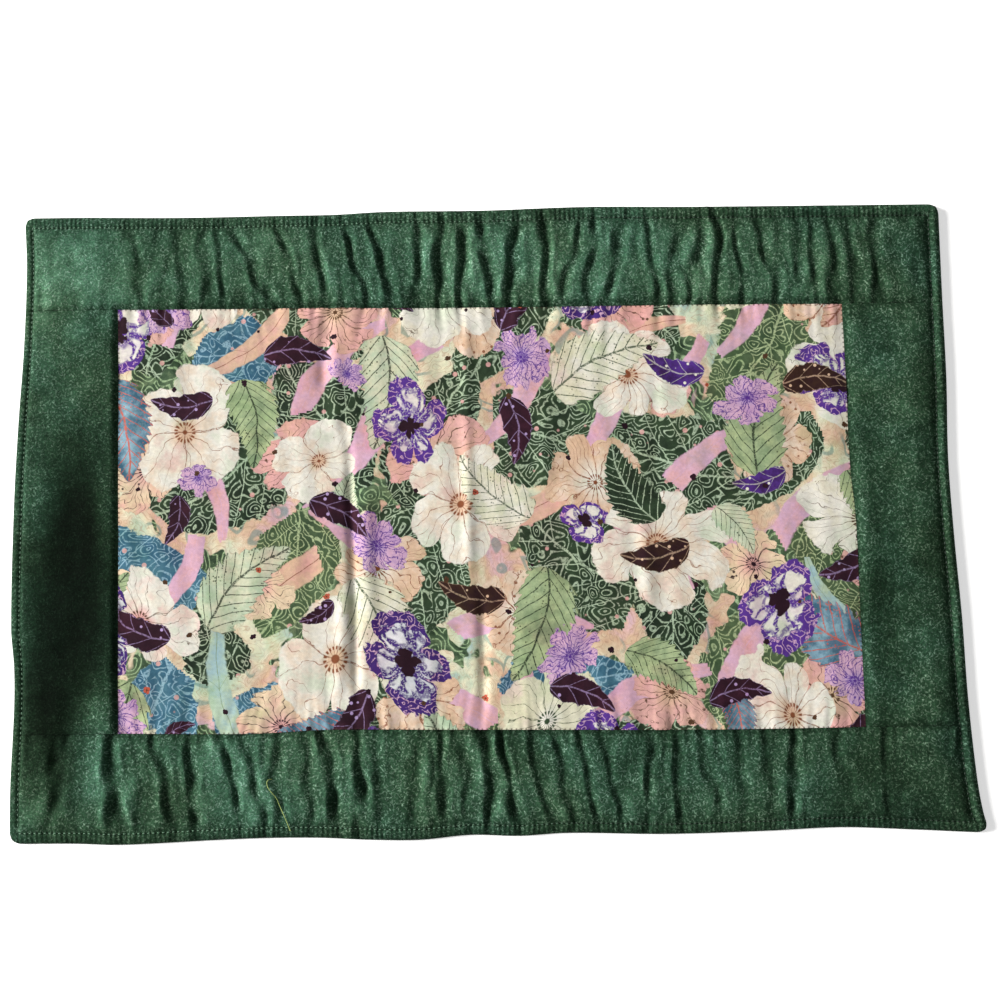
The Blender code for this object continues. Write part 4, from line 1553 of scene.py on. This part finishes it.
def tufts(w):
    inks = rows(Ink, (0.0, ORCHID, LILAC, VIOLET), (0.7, VIOLET, LILAC, colour(52, 30, 92)))
    form = Flower(
        Petals=6.0, Notch=0.30, Ruffle=0.60, Vein_Count=2.0, Vein_Width=0.020, Spread=0.6
    )
    tuft, shape, line, _ = draw_flower(w, "tuft", form, inks, run=0.7)
    loops = ring_lines(w, w.warped(w.place, 0.15, 10.0), Size=5.0, Rings=3.0, Line=0.13)
    return w.mix(worn_ink(w, loops, 0.9), tuft, line), shape


def seeds(w):
    inks = rows(
        Ink,
        (0.0, PLUM, PLUM, PLUM),
        (0.6, UMBER, UMBER, PLUM),
        (0.85, CORAL, RUST, PLUM),
    )
    form = Flower(
        Petals=3.0, Notch=0.25, Ruffle=0.2, Vein_Count=1.0, Vein_Width=0.03, Spread=1.0
    )
    return draw_flower(w, "seed", form, inks)[:2]


print("layers of violet blooms, tufts and seeds")

# %% Needle holes and weave
NEEDLE_TURN = math.tau / (STITCH_PITCH / MM)
WEAVE_PITCH = 0.42


def seam_specks(w):
    """Dark specks at the stitch pitch, right beside the panel's seam."""
    s, t, _ = w.split(w.attribute("cut_place"))
    from_side = PANEL_HALF_WIDTH / MM - abs(s)
    from_end = PANEL_HALF_DEPTH / MM - abs(t)
    specks = 0.0
    for away, along in ((from_side, t), (from_end, s)):
        turn = w.math("COSINE", along * NEEDLE_TURN)
        speck = w.between(turn, 0.1, 0.7) * w.between(away, 0.5, 1.0, 1.0, 0.0)
        specks = w.larger(specks, speck)
    return specks * 0.65


def weave_group():
    """Threads over and under one another, as a height from 0 to 1."""
    tree, w, start, end = new_group("weave", "Place", ("Pitch",), ("Height",))
    x, y, _ = w.split(start["Place"])
    turn = math.pi / start["Pitch"]
    over = w.math("SINE", x * turn) * w.math("SINE", y * turn)
    w.fill(end, Height=over * 0.5 + 0.5)
    return tree


weave_bump = weave_group()
tell_nodes(weave_bump.name, weave_bump)

# %% The printed cloth
PRINT_ORDER = (
    broad_leaves, ribbons, peach_blooms, cream_blooms, veined_leaves, striped_blooms, tufts,
    seed_pods, seeds,
)


def printed_cloth():
    """The panel's sateen, printed in layers and a little grainy."""
    material, w, shader = new_material("printed_cloth")
    shade = print_ground(w)
    for draw in PRINT_ORDER:
        motif, shape = draw(w)
        shade = w.mix(shape, shade, motif)
    # Dye has run from motif to motif, and faintly green, yellow and pink clouds remain.
    clouds = w.ramp(
        w.noise(w.place, 0.045, 4.0, 0.6),
        (0.32, colour(214, 232, 208)),
        (0.45, colour(255, 255, 252)),
        (0.55, colour(255, 252, 238)),
        (0.66, colour(246, 220, 222)),
    )
    shade = w.tinted(shade, clouds, 0.65)
    shade = w.mix(seam_specks(w), shade, colour(64, 44, 38))
    # The dye sits unevenly, in a fine grain.
    mottle = w.between(w.noise(w.place, 0.55, 5.0, 0.75), 0.30, 0.70, 0.62, 0.84)
    weave = w.group(weave_bump, Place=w.place, Pitch=WEAVE_PITCH)["Height"]
    # A woven face is never a mirror, even seen from low down.
    w.fill(
        shader,
        Base_Color=w.tinted(shade, w.grey(mottle)),
        Normal=w.bump(weave, 0.00006, 0.6),
        Roughness=w.between(mottle, 0.62, 0.84, 0.88, 0.78),
        Specular_IOR_Level=0.10,
        Sheen_Weight=0.04,
        Sheen_Roughness=0.5,
    )
    return material


printed = printed_cloth()
printed_panel.data.materials.append(printed)
tell_nodes("printed cloth", printed.node_tree)

# %% [markdown]
# ## Green cloth
#
# The green cloth is brushed cotton. Short pale fibres lie on a dark ground in every
# direction. Four stretched noises, each turned another way and cut off high, leave just
# such short dashes, and the same dashes lift the surface a little.

# %% Fibre dashes
FIBRE_TURNS = (-34.0, 6.0, 48.0, 96.0)


def fibre_group():
    """Short dashes in several directions, thicker in the middle and soft at the ends."""
    numbers = ("Length", "Width", "Cut")
    tree, w, start, end = new_group("fibre_dashes", "Place", numbers, ("Dashes",))
    bent = w.warped(start["Place"], 0.25, 0.8, detail=1.0)
    dashes = 0.0
    for i, degrees in enumerate(FIBRE_TURNS):
        inputs = {"Vector": bent, "Angle": math.radians(degrees)}
        turned = w.node("VectorRotate", inputs, rotation_type="Z_AXIS")
        x, y, _ = w.split(turned)
        stretched = w.joined(x / start["Length"], y / start["Width"], 17.0 * i)
        lump = w.noise(stretched, 1.0, 0.0)
        dashes = w.larger(dashes, w.between(lump, start["Cut"], start["Cut"] + 0.24))
    w.fill(end, Dashes=dashes)
    return tree


fibre_dashes = fibre_group()
tell_nodes(fibre_dashes.name, fibre_dashes)


# %% The green cloth
def green_cloth():
    """Brushed cotton, with its tone from what was written on the strips: random tone with
    painted light and shade.
    """
    material, w, shader = new_material("green_cloth")
    nap = w.attribute("nap", "Fac")
    ground = w.ramp(
        w.noise(w.place, 0.9, 3.0, 0.7),
        (0.28, colour(19, 37, 26)),
        (0.50, colour(31, 54, 38)),
        (0.72, colour(43, 72, 51)),
    )
    fibres = w.group(fibre_dashes, Place=w.place, Length=1.75, Width=0.80, Cut=0.650)
    dashes = fibres["Dashes"]
    clumps = w.between(w.noise(w.place, 0.22, 3.0), 0.36, 0.62, 0.5, 1.0)
    # The nap lies flatter at the left end of the mat, so its fibres show less there.
    clumps = clumps * w.between(w.split(w.place)[0], -215.0, -110.0, 0.75, 1.0)
    # The pale fibres show less where the painted shade is deepest and where the painted
    # light is strongest.
    shown = w.between(nap, -1.6, 0.2, 0.5, 1.0) * w.between(nap, 0.5, 1.1, 1.0, 0.5)
    pale = dashes * clumps * shown
    shade = w.mix(pale * 0.58, ground, colour(140, 172, 148))
    # The dye drifts slowly between a warmer and a bluer green.
    drift = w.ramp(
        w.noise(w.place, 0.022, 2.0),
        (0.38, (1.0, 0.96, 0.90, 1.0)),
        (0.62, (0.89, 0.96, 1.0, 1.0)),
    )
    shade = w.tinted(shade, drift)
    nap = nap + w.between(w.noise(w.place, 0.32, 2.0), 0.3, 0.7, -0.28, 0.28)
    # Where the tone, painted light and shade included, is dark the cloth is greener too,
    # and where it is light it is greyer.
    other_tone = 2.0 ** (nap * 1.1)
    tone = w.joined(other_tone, 2.0**nap, other_tone)
    fuzz = dashes * 0.5 + w.noise(w.place, 1.7, 3.0, 0.6)
    w.fill(
        shader,
        Base_Color=w.tinted(shade, tone),
        Normal=w.bump(fuzz, 0.00026, 0.5),
        Roughness=w.between(pale, 0.0, 1.0, 0.95, 0.75),
        Specular_IOR_Level=0.06,
        Sheen_Weight=0.03,
        Sheen_Roughness=0.45,
        Sheen_Tint=colour(150, 190, 160),
    )
    return material


green = green_cloth()
for strip in strips:
    strip.data.materials.append(green)
tell_nodes("green cloth", green.node_tree)

# %% [markdown]
# ## Thread
#
# Sewing thread is two plies twisted together. Slanting stripes in its bump give the
# twist, and a little more gloss than the cloth makes each stitch catch the light.


# %% Thread material
def sewing_thread(name, shade):
    """Two plies of thread, worn a little and painted darker towards the right, in the
    colour given.
    """
    material, w, shader = new_material(name)
    x, y, _ = w.split(w.place)
    twist = w.math("SINE", (x + y) * 16.0)
    wear_and_shade = w.between(w.noise(w.place, 0.2, 2.0), 0.3, 0.7, 0.8, 1.1)
    # Towards the right the thread is painted darker, as painted shade of the groove there.
    wear_and_shade = wear_and_shade * w.between(x, -60.0, 70.0, 1.0, 0.18)
    w.fill(
        shader,
        Base_Color=w.tinted(shade, w.grey(wear_and_shade)),
        Normal=w.bump(twist, 0.00004, 0.6),
        Roughness=w.between(twist, -1.0, 1.0, 0.5, 0.62),
    )
    return material


topstitching.data.materials.append(sewing_thread("stitch_thread", colour(86, 120, 96)))
loose_thread.data.materials.append(sewing_thread("loose_end_thread", colour(150, 168, 96)))
print("two threads")

# %% [markdown]
# ## Tying the pieces to the part
#
# Each fine sheet stands for one solid of the part. The sheet's flat size is what a maker
# would cut, without seam allowance.

# %% Pieces and slots
Cut = namedtuple("Cut", "piece node slot width depth")
STRIP_WIDTH = HALF_DEPTH - PANEL_HALF_DEPTH
SIDE_WIDTH = HALF_WIDTH - PANEL_HALF_WIDTH

CUTS = (
    Cut(top_strip, "border_top", "green_cloth", MAT_WIDTH, STRIP_WIDTH),
    Cut(bottom_strip, "border_bottom", "green_cloth", MAT_WIDTH, STRIP_WIDTH),
    Cut(left_strip, "border_left", "green_cloth", SIDE_WIDTH, PANEL_DEPTH),
    Cut(right_strip, "border_right", "green_cloth", SIDE_WIDTH, PANEL_DEPTH),
    Cut(printed_panel, "centre_panel", "printed_cloth", PANEL_WIDTH, PANEL_DEPTH),
)
for cut in CUTS:
    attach(cut.piece, "root")
    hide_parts(cut.node)
for sewn in (topstitching, loose_thread):
    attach(sewn, "root")
print(len(CUTS), "pieces of cloth")

# %% [markdown]
# ## Table, light and camera
#
# The mat lies on a plain white table. A large soft lamp stands low on the left, so that
# every fold shows, and a weak, wide one above fills the shadows. The camera is almost
# straight above.

# %% Stage
TABLE_SIZE = 12.0

floor_form = bmesh.new()
bmesh.ops.create_grid(floor_form, x_segments=1, y_segments=1, size=TABLE_SIZE)
table_top = shown_as("table_top", mesh_of(floor_form, "table_top"))
white, white_wiring, white_shader = new_material("white_table")
pale = (0.94, 0.94, 0.94, 1.0)
# A little light of its own keeps the mat's shadow on the table pale.
white_wiring.fill(white_shader, Base_Color=pale, Roughness=0.9, Emission_Strength=0.4)
table_top.data.materials.append(white)
print("the table reaches", TABLE_SIZE, "m out from the mat")

# %% Lamps
Lamp = namedtuple("Lamp", "name at size power tint")
LAMPS = (
    Lamp("window_light", (-4.0, 0.7, 1.56), 1.4, 540.0, (1.0, 0.985, 0.96)),
    Lamp("ceiling_light", (0.1, -0.1, 1.7), 1.6, 5.0, (1.0, 1.0, 1.0)),
)
for lamp in LAMPS:
    light = bpy.data.lights.new(lamp.name, "AREA")
    light.size, light.energy, light.color = lamp.size, lamp.power, lamp.tint
    shown = shown_as(lamp.name, light)
    shown.location = lamp.at
    shown.rotation_euler = (-Vector(lamp.at)).to_track_quat("-Z", "Y").to_euler()
print(len(LAMPS), "lamps")

# %% Room
room = bpy.data.worlds.new("room")
room.use_nodes = True
backdrop = room.node_tree.nodes["Background"].inputs
sky = Wiring(room.node_tree)
# The backdrop is brighter to the camera than to the mat.
seen = sky.node("LightPath", output="Is Camera Ray")
sky.fill(backdrop, Color=(1.0, 1.0, 1.0, 1.0), Strength=seen * 0.60 + 0.17)
bpy.context.scene.world = room
bpy.context.scene.view_settings.view_transform = "Standard"
tell_nodes("the room's backdrop", room.node_tree)

# %% Camera
CAMERA_AT = (0.0040, -0.0637, 0.600)
CAMERA_TILT = math.radians(6.727)
CAMERA_ROLL = math.radians(-0.899)

lens = bpy.data.cameras.new("camera")
lens.sensor_width = 36.0
lens.lens = 44.69
lens.clip_start = 0.01
camera = shown_as("camera", lens)
turn = Matrix.Rotation(CAMERA_ROLL, 4, "Z") @ Matrix.Rotation(CAMERA_TILT, 4, "X")
camera.matrix_world = Matrix.Translation(CAMERA_AT) @ turn
bpy.context.scene.camera = camera
print("camera", round(CAMERA_AT[2], 2), "m above the table")
